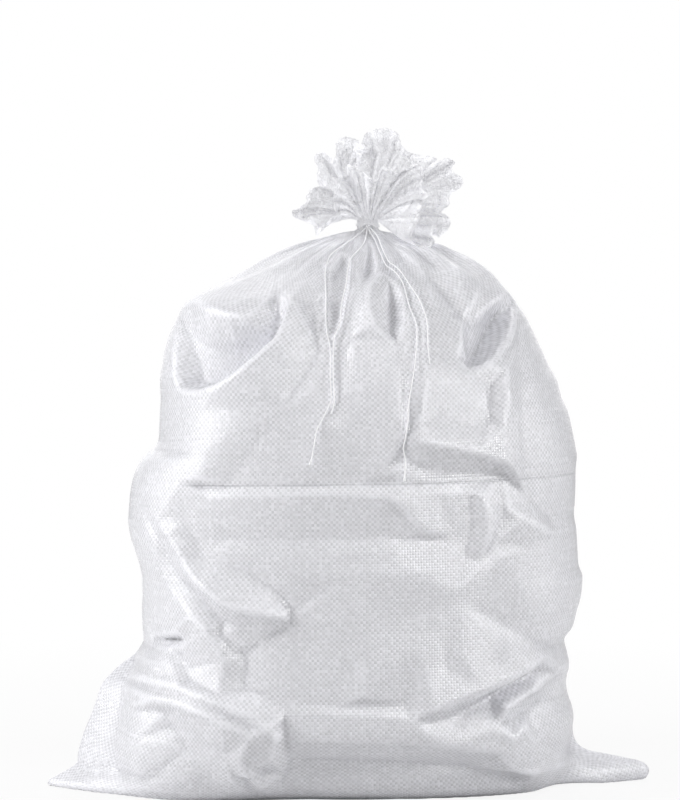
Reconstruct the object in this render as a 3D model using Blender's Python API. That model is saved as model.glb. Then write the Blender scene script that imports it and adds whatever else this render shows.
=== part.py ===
"""A woven rubble sack, filled, tied at the neck with twine and standing on its base.

Metres, +Z up. The sack faces -Y, +X is to its right, and the floor is z = 0.
"""
import math

import bmesh
import bpy
import numpy as np
from mathutils import Vector
from mathutils.geometry import delaunay_2d_cdt

# Driving dimensions of the sack
BODY_HEIGHT = 0.544        # floor to the middle of the tie
NECK_X = 0.0172
NECK_RADIUS = 0.0105
NECK_LENGTH = 0.0090       # straight stretch that the twine grips

# Sections of the body, bottom to top: height, left, right, front, back, squareness.
# A squareness of 2 is an ellipse, and more is boxier.
SECTIONS = (
    (0.000, -0.2250, 0.2080, -0.116, 0.118, 2.30),
    (0.012, -0.2260, 0.2100, -0.132, 0.135, 2.30),
    (0.028, -0.2260, 0.2130, -0.145, 0.148, 2.30),
    (0.045, -0.2240, 0.2160, -0.152, 0.154, 2.30),
    (0.075, -0.2200, 0.2185, -0.157, 0.158, 2.30),
    (0.101, -0.2130, 0.2085, -0.157, 0.158, 2.35),
    (0.130, -0.2060, 0.2095, -0.155, 0.157, 2.40),
    (0.165, -0.2005, 0.2180, -0.153, 0.157, 2.50),
    (0.210, -0.2010, 0.2240, -0.152, 0.157, 2.50),
    (0.262, -0.2145, 0.2175, -0.153, 0.157, 2.50),
    (0.300, -0.2095, 0.2195, -0.153, 0.155, 2.50),
    (0.335, -0.1850, 0.2165, -0.151, 0.153, 2.50),
    (0.380, -0.1835, 0.2065, -0.145, 0.147, 2.45),
    (0.420, -0.1795, 0.1875, -0.133, 0.136, 2.35),
    (0.450, -0.1700, 0.1730, -0.120, 0.123, 2.30),
    (0.470, -0.1570, 0.1580, -0.107, 0.110, 2.25),
    (0.490, -0.1180, 0.1390, -0.089, 0.091, 2.15),
    (0.505, -0.0880, 0.1190, -0.069, 0.071, 2.05),
    (0.520, -0.0560, 0.0900, -0.047, 0.047, 2.00),
    (0.531, -0.0260, 0.0560, -0.030, 0.030, 2.00),
    (0.538, 0.0005, 0.0305, -0.0138, 0.0138, 2.00),
)
# Bottom corners, which stand out as ears: height, how far the left and the right one
# pass the body, and the half thickness of each where it joins the body.
EARS = (
    (0.000, 0.0685, 0.0810, 0.120, 0.045),
    (0.012, 0.0580, 0.0850, 0.122, 0.040),
    (0.028, 0.0400, 0.0365, 0.122, 0.030),
    (0.045, 0.0350, 0.0080, 0.120, 0.015),
    (0.075, 0.0290, 0.0000, 0.112, 0.000),
    (0.101, 0.0270, 0.0000, 0.095, 0.000),
    (0.116, 0.0165, 0.0000, 0.065, 0.000),
    (0.130, 0.0000, 0.0000, 0.025, 0.000),
    (0.150, 0.0000, 0.0000, 0.000, 0.000),
)
LEFT_EAR_LEAN = -0.030     # how far the tips lean to the front
RIGHT_EAR_LEAN = 0.012
COLUMNS = 88               # points around the sack
ROW_STEP = 0.0145          # spacing of the body's rows, along its side
OUTLINE_SAMPLES = 360      # points of a section before it is spaced evenly
EAR_TAPER = 3.2            # how late the ears thin out
EAR_RISE = 1.5             # how soon they thicken, from the middle of the sack
EAR_EDGE = 0.003           # least half thickness of an ear

# Where the front's folds are measured from: they are read on the plane y = 0, along straight
# lines from this point to the cloth.
VIEW_POINT = (-0.00975, -2.9959, 0.5310)
# Fold lines of the front: x, z and how far the cloth stands out there, in millimetres
FRONT_FOLDS = {
    "shoulder_crest": ((-150, 469, 8), (-132, 458, 10), (-115, 453, 10), (-100, 450, 7),
                       (-86, 464, 3), (-72, 481, 2), (-61, 490, 2)),
    "pocket_rim": ((-167, 454, 3), (-168, 428, 5), (-167, 401, 7), (-163, 385, 5)),
    "pocket_left": ((-159, 439, -12), (-160, 418, -19), (-158, 397, -24)),
    "pocket_middle": ((-141, 428, -19), (-119, 428, -24), (-97, 438, -20)),
    "pocket_floor": ((-150, 393, -27), (-140, 394, -34), (-125, 397, -37), (-109, 409, -37),
                     (-94, 423, -32), (-81, 436, -24), (-70, 457, -14)),
    "shelf_lip": ((-158, 383, 7), (-146, 382, 8), (-127, 387, 12), (-107, 400, 12),
                  (-86, 419, 10), (-72, 431, 10), (-65, 447, 8), (-59, 470, 7), (-57, 475, 3)),
    "left_edge_strip": ((-165, 364, 3), (-163, 325, 5), (-164, 296, 5)),
    "left_front_bend": ((-141, 364, 7), (-139, 325, 7), (-143, 298, 5)),
    "first_pleat_floor": ((-43, 469, -3), (-29, 471, -8), (-28, 447, -10), (-28, 429, -7)),
    "second_pleat_floor": ((-4, 508, -5), (-8, 487, -10), (-14, 466, -14), (-17, 448, -12),
                           (-19, 433, -7)),
    "bulge_left": ((8, 486, 5), (6, 462, 7), (0, 440, 5)),
    "knot_pocket": ((18, 524, -8), (19, 508, -10), (29, 504, -3)),
    "leaf_left": ((31, 499, 3), (19, 483, 7), (17, 464, 8), (24, 444, 7), (40, 430, 5)),
    "leaf_floor": ((38, 489, -7), (42, 473, -12), (43, 458, -12), (41, 440, -5)),
    "leaf_right": ((48, 488, 2), (53, 471, 3), (53, 450, 3), (47, 429, 3)),
    "strip_ridge": ((41, 423, 7), (46, 394, 8), (50, 366, 8), (55, 345, 7)),
    "right_of_twine": ((73, 442, 5), (76, 403, 5), (70, 370, 7), (66, 347, 5)),
    "right_facet": ((78, 471, 5), (93, 456, 5), (108, 446, 5), (108, 428, 5), (103, 415, 3)),
    "right_lip": ((66, 508, 5), (88, 495, 10), (107, 490, 14), (126, 481, 15),
                  (146, 471, 15), (156, 468, 12)),
    "right_lip_shade": ((78, 491, 0), (91, 477, 0), (101, 464, 0), (110, 454, -2)),
    "right_pocket": ((149, 462, -19), (143, 446, -26), (134, 430, -24), (125, 415, -15)),
    "right_pocket_left": ((118, 450, -10), (119, 428, -14), (117, 411, -8)),
    "right_pocket_lip": ((158, 462, 8), (155, 444, 12), (149, 428, 12), (140, 413, 10),
                         (127, 404, 7), (115, 402, 5)),
    "right_upright": ((148, 399, 12), (149, 372, 12), (147, 347, 8)),
    "upright_left": ((135, 386, 0), (135, 354, 0)),
    "upright_right": ((162, 428, 2), (166, 394, 0), (168, 354, 0)),
    "brow": ((49, 339, 5), (68, 334, 7), (93, 330, 8), (122, 323, 8), (144, 317, 10),
             (158, 311, 10), (168, 302, 7)),
    "brow_under": ((61, 311, -2), (98, 306, -2), (142, 304, -3), (156, 301, -5),
                   (170, 291, -5)),
    "half_ridge": ((-150, 282, 2), (-88, 283, 3), (-10, 285, 3), (78, 286, 3), (113, 286, 2)),
    "second_step": ((-147, 237, -3), (-88, 237, -3), (-10, 237, -3), (49, 237, -3),
                    (108, 236, -3)),
    "lower_swell": ((-44, 203, 3), (0, 201, 5), (68, 203, 5), (103, 188, 3)),
    "kite_left": ((127, 281, -2), (126, 257, -8), (126, 232, -8), (121, 215, -3)),
    "kite_ridge": ((135, 285, 12), (151, 271, 15), (166, 259, 14), (184, 250, 10),
                   (198, 243, 7)),
    "kite_foot": ((132, 217, 5), (147, 223, 7), (172, 231, 5)),
    "kite_valley": ((154, 288, -3), (176, 276, -8), (193, 259, -7)),
    "first_fold_crest": ((-203, 281, 3), (-186, 259, 10), (-174, 243, 14), (-163, 225, 15),
                         (-154, 210, 15), (-142, 195, 15), (-126, 181, 15), (-108, 172, 15),
                         (-86, 167, 15), (-68, 162, 14)),
    "tongue_top": ((-151, 221, 2), (-141, 215, 0), (-122, 211, -2), (-98, 202, -3),
                   (-80, 190, -3), (-67, 177, -5), (-60, 166, -5)),
    "tongue_tip": ((-58, 158, -5), (-65, 148, -7), (-84, 140, -7), (-106, 134, -7),
                   (-118, 132, -5)),
    "tongue_face": ((-108, 156, 5), (-86, 156, 7), (-73, 157, 8)),
    "first_valley": ((-197, 255, -2), (-183, 231, -10), (-167, 206, -17), (-153, 185, -20),
                     (-139, 166, -20), (-126, 150, -15)),
    "second_fold_crest": ((-199, 232, 3), (-189, 218, 8), (-176, 199, 10), (-162, 178, 12),
                          (-147, 158, 14), (-133, 142, 14), (-125, 131, 14), (-122, 119, 14),
                          (-125, 99, 10), (-128, 83, 8)),
    "front_drop": ((-115, 125, -8), (-112, 109, -10), (-118, 87, -8)),
    "notch": ((-194, 138, -10), (-182, 136, -24), (-170, 136, -15), (-162, 136, -2)),
    "notch_lip": ((-196, 145, 3), (-178, 145, 5), (-161, 143, 5)),
    "spike_back": ((-227, 103, 2), (-196, 96, 5), (-167, 89, 8), (-147, 85, 12),
                   (-125, 77, 14), (-100, 68, 15), (-80, 53, 15), (-73, 42, 12)),
    "spike_front": ((-221, 90, 3), (-181, 78, 8), (-147, 64, 12), (-108, 52, 14),
                    (-86, 42, 12), (-77, 39, 10)),
    "spike_end": ((-66, 52, -5), (-64, 42, -7), (-69, 32, -8)),
    "under_spike": ((-183, 66, -3), (-178, 50, -14), (-168, 34, -19), (-155, 20, -15),
                    (-147, 7, -10)),
    "under_spike_right": ((-142, 44, -2), (-113, 33, -3), (-86, 25, -5)),
    "corner_ridge": ((-206, 68, 7), (-198, 42, 10), (-196, 15, 10), (-200, -4, 7)),
    "belly_edge": ((-53, 40, 3), (-10, 39, 5), (49, 38, 5), (94, 34, 3)),
    "belly_under": ((-39, 14, -12), (10, 10, -14), (69, 8, -14), (118, 5, -14),
                    (162, -2, -12)),
    "right_ridge": ((62, 60, 3), (83, 70, 7), (108, 82, 10), (129, 90, 14), (152, 100, 15),
                    (171, 110, 15), (186, 120, 12), (197, 131, 5)),
    "right_ridge_under": ((88, 61, -5), (116, 71, -14), (144, 84, -19), (162, 95, -17),
                          (179, 108, -10)),
    "right_second": ((144, 56, 2), (151, 72, 7), (167, 85, 8), (184, 95, 8), (203, 108, 7)),
    "right_small_valley": ((161, 56, -5), (176, 68, -7), (192, 83, -8), (203, 96, -8)),
    "hip_ridge": ((147, 30, 7), (158, 44, 8), (168, 56, 7)),
    "hip_low": ((147, 22, 5), (159, 12, 7), (177, 7, 7), (206, 5, 5), (236, 4, 2)),
}
# Fold lines of the back: x, z and how far out, as above but straight from behind
BACK_FOLDS = {
    "left_shoulder_crest": ((-152, 462, 7), (-118, 456, 10), (-84, 470, 7), (-50, 492, 3)),
    "left_pocket": ((-148, 412, -17), (-122, 404, -29), (-98, 420, -26), (-78, 446, -14)),
    "left_shelf": ((-150, 384, 5), (-118, 378, 10), (-84, 396, 10), (-60, 428, 7)),
    "middle_pleat": ((-12, 506, -8), (-8, 474, -20), (-4, 440, -17), (2, 404, -5)),
    "middle_ridge": ((14, 500, 5), (20, 462, 8), (22, 420, 5)),
    "right_crest": ((44, 500, 3), (82, 480, 10), (126, 466, 10), (150, 456, 7)),
    "right_pocket": ((70, 452, -14), (96, 428, -29), (124, 416, -26), (148, 424, -12)),
    "right_shelf": ((58, 424, 5), (90, 398, 10), (128, 386, 10), (160, 388, 5)),
    "half_crease": ((-170, 288, -3), (-60, 292, -5), (40, 293, -5), (165, 290, -3)),
    "half_ridge": ((-150, 272, 2), (-40, 276, 3), (90, 274, 3)),
    "right_drape": ((196, 300, 3), (160, 276, 14), (122, 242, 15), (92, 214, 10),
                    (70, 206, 3)),
    "right_drape_under": ((188, 262, -7), (150, 232, -17), (116, 208, -15), (84, 190, -7)),
    "left_drape": ((-196, 270, 3), (-162, 244, 14), (-126, 214, 15), (-96, 196, 8)),
    "left_drape_under": ((-190, 232, -7), (-152, 204, -17), (-118, 182, -15), (-88, 176, -5)),
    "left_low_ridge": ((-186, 140, 5), (-140, 128, 12), (-92, 112, 12), (-56, 92, 5)),
    "left_low_valley": ((-180, 112, -7), (-136, 100, -15), (-92, 82, -14), (-62, 66, -5)),
    "right_low_ridge": ((60, 86, 5), (100, 110, 12), (146, 124, 14), (186, 146, 7)),
    "right_low_valley": ((84, 76, -7), (120, 92, -15), (160, 104, -14), (190, 122, -7)),
    "quarter_crease": ((-60, 62, -2), (0, 63, -2), (60, 62, -2)),
    "swell": ((-40, 230, 3), (20, 214, 5), (40, 160, 5), (-20, 150, 5)),
}
FOLD_FRAME = (-0.32, 0.32, -0.04, 0.56)    # left, right, bottom and top, where no fold is left
FOLD_FRAME_POINTS = 12
FOLD_ROUNDING = 0.016      # the folds are averaged over a disc of this radius
FOLD_START = 0.030         # height at which they have their full depth
FOLD_END = 0.050           # distance from the neck's axis at which they have it
EAR_ROOT = (0.200, 0.170)  # x where the right ear has begun, and where the body ends
EAR_TOP = (0.100, 0.130)   # heights up to which it is whole, and where it has ended
EAR_BLADE = (0.215, 0.250)    # x between which its root passes into its flat blade
ROOT_PASSES = 6            # times that its root is evened out
PLEATS = 9                 # gathers that run down from the neck
PLEAT_DEPTH = 0.0050
PLEAT_START = 0.400        # height at which they fade out
PLEAT_PEAK = 0.505

# Edge of the mouth, from the left, round the front, the right and the back, and how high the
# frill arches on its way there from the tie: x, y, z and arch, all in millimetres
MOUTH_EDGE = (
    (-27, 6, 583, 12), (-40, -10, 574, 12), (-52, -18, 555, 14), (-43, -26, 544, 13),
    (-29, -31, 534, 14), (-20, -34, 557, 16), (-12, -31, 590, 10), (0, -29, 600, 8),
    (9, -38, 597, 10), (24, -39, 589, 12), (33, -44, 599, 12), (45, -35, 597, 12),
    (57, -43, 600, 22), (64, -49, 560, 36), (74, -46, 527, 46), (83, -38, 525, 46),
    (89, -28, 542, 42), (95, -15, 538, 41), (97, -6, 552, 36), (101, 2, 578, 22),
    (104, 7, 598, 12), (98, 12, 607, 10), (88, 18, 610, 10), (76, 25, 612, 10),
    (61, 32, 615, 8), (50, 39, 622, 6), (40, 49, 638, 4), (26, 43, 636, 4),
    (14, 33, 622, 4), (5, 40, 628, 4), (-5, 42, 631, 6), (-12, 33, 622, 8),
    (-20, 28, 612, 10), (-28, 22, 614, 12), (-33, 13, 606, 14),
)
MOUTH_EDGE_SAMPLES = 720
MOUTH_MIDDLE = (NECK_X, 0.0, 0.570)
FRILL_ROWS = 7             # neck to the edge of the mouth
MOUTH_ROWS = 6             # edge of the mouth to its middle
FRILL_SPREAD = 0.45        # how soon the frill opens above the neck
FRILL_RISE = 0.012
UNDER_ARCH = 0.35          # the frill's underside arches by this share of its top
CROWN_RISE = 0.014         # least height of the arch over the underside's knee

# Twine
TWINE_DIAMETER = 0.0012
TWINE_TURNS = 2.25
TWINE_PITCH = 0.0016
TWINE_POINT_STEP = 0.0034
KNOT_SCALE = 0.00085
GAP = 0.0003               # left between touching pieces

# Routes of the twine's loose ends, from the knot down the front: x, y, z
TIE_ENDS = {
    "tie_end_left_long": (
        (0.0152, -0.0136, 0.5415), (0.0115, -0.0196, 0.5377), (0.0050, -0.0283, 0.5330),
        (-0.0040, -0.0389, 0.5268), (-0.0130, -0.0496, 0.5205), (-0.0200, -0.0592, 0.5135),
        (-0.0236, -0.0725, 0.5004), (-0.0233, -0.0850, 0.4879), (-0.0229, -0.0959, 0.4764),
        (-0.0229, -0.1103, 0.4548), (-0.0219, -0.1175, 0.4437), (-0.0188, -0.1265, 0.4272),
        (-0.0188, -0.1365, 0.4034), (-0.0180, -0.1436, 0.3833), (-0.0209, -0.1462, 0.3741),
        (-0.0265, -0.1493, 0.3631), (-0.0312, -0.1519, 0.3540), (-0.0329, -0.1539, 0.3448),
        (-0.0353, -0.1558, 0.3311), (-0.0376, -0.1564, 0.3218),
    ),
    "tie_end_left_short": (
        (0.0165, -0.0133, 0.5404), (0.0158, -0.0206, 0.5368), (0.0148, -0.0316, 0.5312),
        (0.0120, -0.0399, 0.5250), (0.0060, -0.0504, 0.5187), (0.0006, -0.0607, 0.5122),
        (-0.0025, -0.0762, 0.5002), (-0.0040, -0.0921, 0.4874), (-0.0066, -0.0986, 0.4780),
        (-0.0087, -0.1069, 0.4659), (-0.0090, -0.1144, 0.4549), (-0.0110, -0.1180, 0.4484),
        (-0.0143, -0.1215, 0.4410), (-0.0158, -0.1258, 0.4310), (-0.0160, -0.1367, 0.4034),
        (-0.0150, -0.1430, 0.3851), (-0.0157, -0.1457, 0.3759), (-0.0184, -0.1475, 0.3686),
    ),
    "tie_end_right_long": (
        (0.0179, -0.0133, 0.5404), (0.0198, -0.0199, 0.5364), (0.0235, -0.0298, 0.5306),
        (0.0276, -0.0436, 0.5202), (0.0336, -0.0625, 0.5066), (0.0385, -0.0699, 0.5030),
        (0.0431, -0.0765, 0.4990), (0.0476, -0.0849, 0.4930), (0.0509, -0.0925, 0.4855),
        (0.0533, -0.1012, 0.4753), (0.0558, -0.1083, 0.4665), (0.0593, -0.1155, 0.4578),
        (0.0617, -0.1205, 0.4501), (0.0620, -0.1265, 0.4391), (0.0606, -0.1368, 0.4192),
        (0.0579, -0.1452, 0.4019), (0.0555, -0.1500, 0.3883), (0.0537, -0.1532, 0.3754),
        (0.0533, -0.1549, 0.3626), (0.0505, -0.1555, 0.3459), (0.0489, -0.1552, 0.3373),
        (0.0507, -0.1549, 0.3264), (0.0504, -0.1546, 0.3152), (0.0501, -0.1544, 0.3068),
    ),
    "tie_end_right_short": (
        (0.0191, -0.0134, 0.5418), (0.0224, -0.0199, 0.5384), (0.0266, -0.0295, 0.5326),
        (0.0306, -0.0428, 0.5222), (0.0364, -0.0594, 0.5098), (0.0414, -0.0669, 0.5060),
        (0.0462, -0.0741, 0.5018), (0.0508, -0.0826, 0.4958), (0.0552, -0.0903, 0.4888),
        (0.0600, -0.0976, 0.4815), (0.0642, -0.1033, 0.4748), (0.0675, -0.1093, 0.4671),
        (0.0707, -0.1159, 0.4578), (0.0721, -0.1216, 0.4476), (0.0722, -0.1288, 0.4321),
        (0.0732, -0.1341, 0.4192), (0.0741, -0.1361, 0.4146),
    ),
}


def settle(values, stations, at):
    """Smooth curve through values at stations, with no overshoot, read at the given places."""
    values = np.asarray(values, float)
    stations = np.asarray(stations, float)
    at = np.clip(np.asarray(at, float), stations[0], stations[-1])
    step = np.diff(stations)
    slope = np.diff(values) / step
    tangent = np.zeros(len(values))
    same_way = slope[:-1] * slope[1:] > 0.0
    total = slope[:-1] + slope[1:]
    total[~same_way] = 1.0
    tangent[1:-1] = np.where(same_way, 2.0 * slope[:-1] * slope[1:] / total, 0.0)
    tangent[0] = slope[0]
    tangent[-1] = slope[-1]
    left = np.clip(np.searchsorted(stations, at, side="right") - 1, 0, len(step) - 1)
    run = step[left]
    t = (at - stations[left]) / run
    return (values[left] * (1 + 2 * t) * (1 - t) ** 2
            + run * tangent[left] * t * (1 - t) ** 2
            + values[left + 1] * t * t * (3 - 2 * t)
            + run * tangent[left + 1] * t * t * (t - 1))


def flow(points, count, closed=False):
    """Smooth curve through the given points, read at evenly spaced places along it."""
    points = np.asarray(points, float)
    if closed:
        padded = np.vstack([points[-1:], points, points[:2]])
    else:
        padded = np.vstack([2 * points[0] - points[1], points, 2 * points[-1] - points[-2]])
    fine = []
    t = np.linspace(0.0, 1.0, 24, endpoint=False)[:, None]
    for before, start, end, after in zip(padded, padded[1:], padded[2:], padded[3:]):
        fine.append(0.5 * (2 * start + (end - before) * t
                           + (2 * before - 5 * start + 4 * end - after) * t ** 2
                           + (3 * start - before - 3 * end + after) * t ** 3))
    fine = np.vstack(fine + [padded[-2][None]])
    step = np.linalg.norm(np.diff(fine[:, :3], axis=0), axis=1)
    length = np.concatenate([[0.0], np.cumsum(step)])
    places = np.linspace(0.0, length[-1], count, endpoint=not closed)
    return np.column_stack([np.interp(places, length, values) for values in fine.T])


def row_heights():
    """Heights of the body's rows, an even step apart along the sack's side."""
    stations = [section[0] for section in SECTIONS]
    heights = np.linspace(0.0, stations[-1], 900)
    left = settle([section[1] for section in SECTIONS], stations, heights)
    front = settle([section[3] for section in SECTIONS], stations, heights)
    side = np.hypot(np.diff(left), np.diff(heights))
    face = np.hypot(np.diff(front), np.diff(heights))
    run = np.concatenate([[0.0], np.cumsum((side + face) / 2)])
    rows = int(round(run[-1] / ROW_STEP))
    return np.interp(np.linspace(0.0, run[-1], rows + 1), run, heights)


def section_outline(body, ears):
    """Evenly spaced points round one section: left tip, front, right tip, back.

    The half depth is that of the body, |x/a|^n + |y/b|^n = 1 with n the squareness,
    joined to that of the ears, which thin out to their tips."""
    left, right, front, back, squareness = body
    reach_left = left - ears[0]
    reach_right = right + ears[1]
    turn = np.linspace(0.0, math.pi, OUTLINE_SAMPLES)
    x = (reach_left + reach_right - (reach_right - reach_left) * np.cos(turn)) / 2
    across = np.abs((2 * x - left - right) / (right - left))
    bulge = np.clip(1.0 - across ** squareness, 0.0, 1.0) ** (1.0 / squareness)
    out = np.where(x < 0.0, x / reach_left, x / reach_right)
    thick = np.where(x < 0.0, ears[2], ears[3]) * np.clip(1.0 - out ** EAR_TAPER, 0.0, 1.0)
    thick *= np.sin(np.clip(EAR_RISE * out, 0.0, 1.0) * math.pi / 2)
    thick += EAR_EDGE * np.sqrt(np.clip(1.0 - out ** 2, 0.0, 1.0))
    lean = np.where(x < 0.0, ears[2] * LEFT_EAR_LEAN, ears[3] * RIGHT_EAR_LEAN)
    lean = lean / EARS[0][3] * out ** 4
    half_count = COLUMNS // 2
    halves = []
    for depth, order in ((front, 1), (back, -1)):
        half_depth = ((abs(depth) * bulge) ** 4 + thick ** 4) ** 0.25
        y = lean + math.copysign(1.0, depth) * half_depth
        run = np.concatenate([[0.0], np.cumsum(np.hypot(np.diff(x), np.diff(y)))])
        places = np.linspace(0.0, run[-1], half_count + 1)
        half = np.column_stack([np.interp(places, run, x), np.interp(places, run, y)])
        halves.append(half[::order][:-1])
    return np.vstack(halves)


def fold_facets(folds):
    """Flat facets between the fold lines: triangles of x, z and how far the cloth stands out.

    Each fold line stays an edge of its facets, and the frame round them stands out by 0."""
    spots = []
    edges = []
    for line in folds.values():
        edges += [(len(spots) + k, len(spots) + k + 1) for k in range(len(line) - 1)]
        spots += [(x / 1000, z / 1000, depth / 1000) for x, z, depth in line]
    left, right, bottom, top = FOLD_FRAME
    for x in np.linspace(left, right, FOLD_FRAME_POINTS):
        spots += [(x, bottom, 0.0), (x, top, 0.0)]
    for z in np.linspace(bottom, top, FOLD_FRAME_POINTS)[1:-1]:
        spots += [(left, z, 0.0), (right, z, 0.0)]
    flat = [Vector(spot[:2]) for spot in spots]
    corners, _, triangles, sources, _, _ = delaunay_2d_cdt(flat, edges, [], 0, 0.000001)
    depths = [np.mean([spots[k][2] for k in source]) if source else 0.0 for source in sources]
    return [[(*corners[k], depths[k]) for k in triangle] for triangle in triangles]


def stand_out(x, z, facets):
    """How far the facets stand out at each x and z, by the place within each triangle."""
    depth = np.zeros_like(x)
    for a, b, c in facets:
        area = (b[0] - a[0]) * (c[1] - a[1]) - (c[0] - a[0]) * (b[1] - a[1])
        toward_b = ((x - a[0]) * (c[1] - a[1]) - (z - a[1]) * (c[0] - a[0])) / area
        toward_c = ((z - a[1]) * (b[0] - a[0]) - (x - a[0]) * (b[1] - a[1])) / area
        inside = (toward_b >= 0.0) & (toward_c >= 0.0) & (toward_b + toward_c <= 1.0)
        level = a[2] + toward_b * (b[2] - a[2]) + toward_c * (c[2] - a[2])
        depth[inside] = level[inside]
    return depth


def fold_depth(x, z, folds):
    """The facets' depth at each x and z, averaged over two rings of places round it."""
    facets = fold_facets(folds)
    total = stand_out(x, z, facets)
    turns = np.linspace(0.0, 2 * math.pi, 8, endpoint=False)
    for turn in turns:
        for reach in (FOLD_ROUNDING / 2, FOLD_ROUNDING):
            total += stand_out(x + reach * math.cos(turn), z + reach * math.sin(turn), facets)
    return total / (2 * len(turns) + 1)


def outward(rows):
    """Unit vectors that point out of the body at each of its points."""
    across = np.roll(rows, -1, axis=1) - np.roll(rows, 1, axis=1)
    upward = np.gradient(rows, axis=0)
    normal = np.cross(across, upward)
    return normal / np.linalg.norm(normal, axis=2, keepdims=True)


def ramp(end, start, value):
    """0 at the start, 1 at the end, and smooth between them."""
    t = np.clip((value - start) / (end - start), 0.0, 1.0)
    return t * t * (3.0 - 2.0 * t)


def ear_share(x, z):
    """1 on the right ear, 0 on the body, and smooth between them."""
    return ramp(*EAR_ROOT, x) * ramp(*EAR_TOP, z)


def ease_ear_root(rows):
    """Draw the points where the right ear joins the body to the middle of their neighbours."""
    eased = rows.copy()
    share = ear_share(rows[..., 0], rows[..., 2]) * ramp(*EAR_BLADE, rows[..., 0])
    for _ in range(ROOT_PASSES):
        padded = np.concatenate([eased[:1], eased, eased[-1:]])
        middle = (padded[:-2] + padded[2:] + np.roll(eased, 1, axis=1)
                  + np.roll(eased, -1, axis=1)) / 4
        eased[..., :2] += share[..., None] * (middle - eased)[..., :2]
    return eased


def body_rows():
    """The body from the floor to the neck, as rows of points."""
    stations = [section[0] for section in SECTIONS]
    ear_stations = [ear[0] for ear in EARS]
    rows = []
    for height in row_heights():
        body = [float(settle([section[k] for section in SECTIONS], stations, [height])[0])
                for k in range(1, 6)]
        ears = [float(settle([ear[k] for ear in EARS], ear_stations, [height])[0])
                for k in range(1, 5)]
        outline = section_outline(body, ears)
        rows.append(np.column_stack([outline, np.full(COLUMNS, height)]))
    rows = ease_ear_root(np.array(rows))
    x, y, z = rows[..., 0], rows[..., 1], rows[..., 2]
    share = VIEW_POINT[1] / (VIEW_POINT[1] - y)
    seen_x = VIEW_POINT[0] + (x - VIEW_POINT[0]) * share
    seen_z = VIEW_POINT[2] + (z - VIEW_POINT[2]) * share
    normal = outward(rows)
    depth = np.where(normal[..., 1] < 0.0, fold_depth(seen_x, seen_z, FRONT_FOLDS),
                     fold_depth(x, z, BACK_FOLDS))
    depth *= np.sqrt(np.abs(normal[..., 1]))
    depth *= ramp(FOLD_START, 0.0, z)
    depth *= 1.0 - ear_share(x, z)
    depth *= ramp(FOLD_END, NECK_RADIUS, np.hypot(x - NECK_X, y))
    rows += normal * depth[..., None]

    turn = 2 * math.pi * np.arange(COLUMNS) / COLUMNS
    rise = np.clip((z - PLEAT_START) / (PLEAT_PEAK - PLEAT_START), 0.0, 1.0)
    fall = np.clip((SECTIONS[-1][0] - z) / (SECTIONS[-1][0] - PLEAT_PEAK), 0.0, 1.0)
    pleat = PLEAT_DEPTH * rise * rise * fall * np.cos(PLEATS * turn)[None, :]
    out_x = x - NECK_X
    reach = np.hypot(out_x, y)
    x += pleat * out_x / reach
    y += pleat * y / reach
    return list(rows)


def neck_rows():
    """The round neck: two rings, a straight stretch apart."""
    turn = math.pi + 2 * math.pi * np.arange(COLUMNS) / COLUMNS
    x = NECK_X + NECK_RADIUS * np.cos(turn)
    y = NECK_RADIUS * np.sin(turn)
    half = NECK_LENGTH / 2
    return [np.column_stack([x, y, np.full(COLUMNS, BODY_HEIGHT + offset)])
            for offset in (-half, 0.0, half)]


def frill_rows(neck):
    """From the neck out to the mouth's edge, then over its arch and in to its middle.

    Both ways are curves (1 - t)^2 start + 2 t (1 - t) knee + t^2 end. Each column stays at
    its own turn round the neck."""
    edge = flow(np.array(MOUTH_EDGE) / 1000, MOUTH_EDGE_SAMPLES, closed=True)
    edge_turn = np.arctan2(edge[:, 1], edge[:, 0] - NECK_X)
    neck_turn = np.arctan2(neck[:, 1], neck[:, 0] - NECK_X)
    edge = np.column_stack([np.interp(neck_turn, edge_turn, values, period=2 * math.pi)
                            for values in edge.T])
    edge, arch = edge[:, :3], edge[:, 3]
    knee = neck + (edge - neck) * (FRILL_SPREAD, FRILL_SPREAD, 0.0)
    knee[:, 2] = neck[:, 2] + FRILL_RISE + UNDER_ARCH * arch
    rows = []
    for step in range(1, FRILL_ROWS + 1):
        t = step / FRILL_ROWS
        rows.append((1 - t) ** 2 * neck + 2 * t * (1 - t) * knee + t * t * edge)
    crown = knee.copy()
    crown[:, 2] = np.maximum((neck[:, 2] + edge[:, 2]) / 2 + arch, knee[:, 2] + CROWN_RISE)
    for step in range(1, MOUTH_ROWS):
        t = step / MOUTH_ROWS
        rows.append((1 - t) ** 2 * edge + 2 * t * (1 - t) * crown + t * t * np.array(MOUTH_MIDDLE))
    return rows


def solid_from_rows(name, rows, top_point):
    """Close rows of points into one solid: a flat bottom, and a fan to the top point."""
    mesh = bpy.data.meshes.new(name)
    shell = bmesh.new()
    rings = [[shell.verts.new(point) for point in row] for row in rows]
    top = shell.verts.new(top_point)
    for lower, upper in zip(rings, rings[1:]):
        for k in range(COLUMNS):
            after = (k + 1) % COLUMNS
            shell.faces.new((lower[k], lower[after], upper[after], upper[k]))
    for k in range(COLUMNS):
        shell.faces.new((rings[-1][k], rings[-1][(k + 1) % COLUMNS], top))
    shell.faces.new(rings[0][::-1])
    bmesh.ops.recalc_face_normals(shell, faces=shell.faces)
    shell.to_mesh(mesh)
    shell.free()
    mesh.shade_smooth()
    return bpy.data.objects.new(name, mesh)


def make_sack():
    """The sack with its neck and frill, as one piece of cloth."""
    rows = body_rows() + neck_rows()
    rows += frill_rows(rows[-1])
    return solid_from_rows("sack", rows, MOUTH_MIDDLE)


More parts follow.
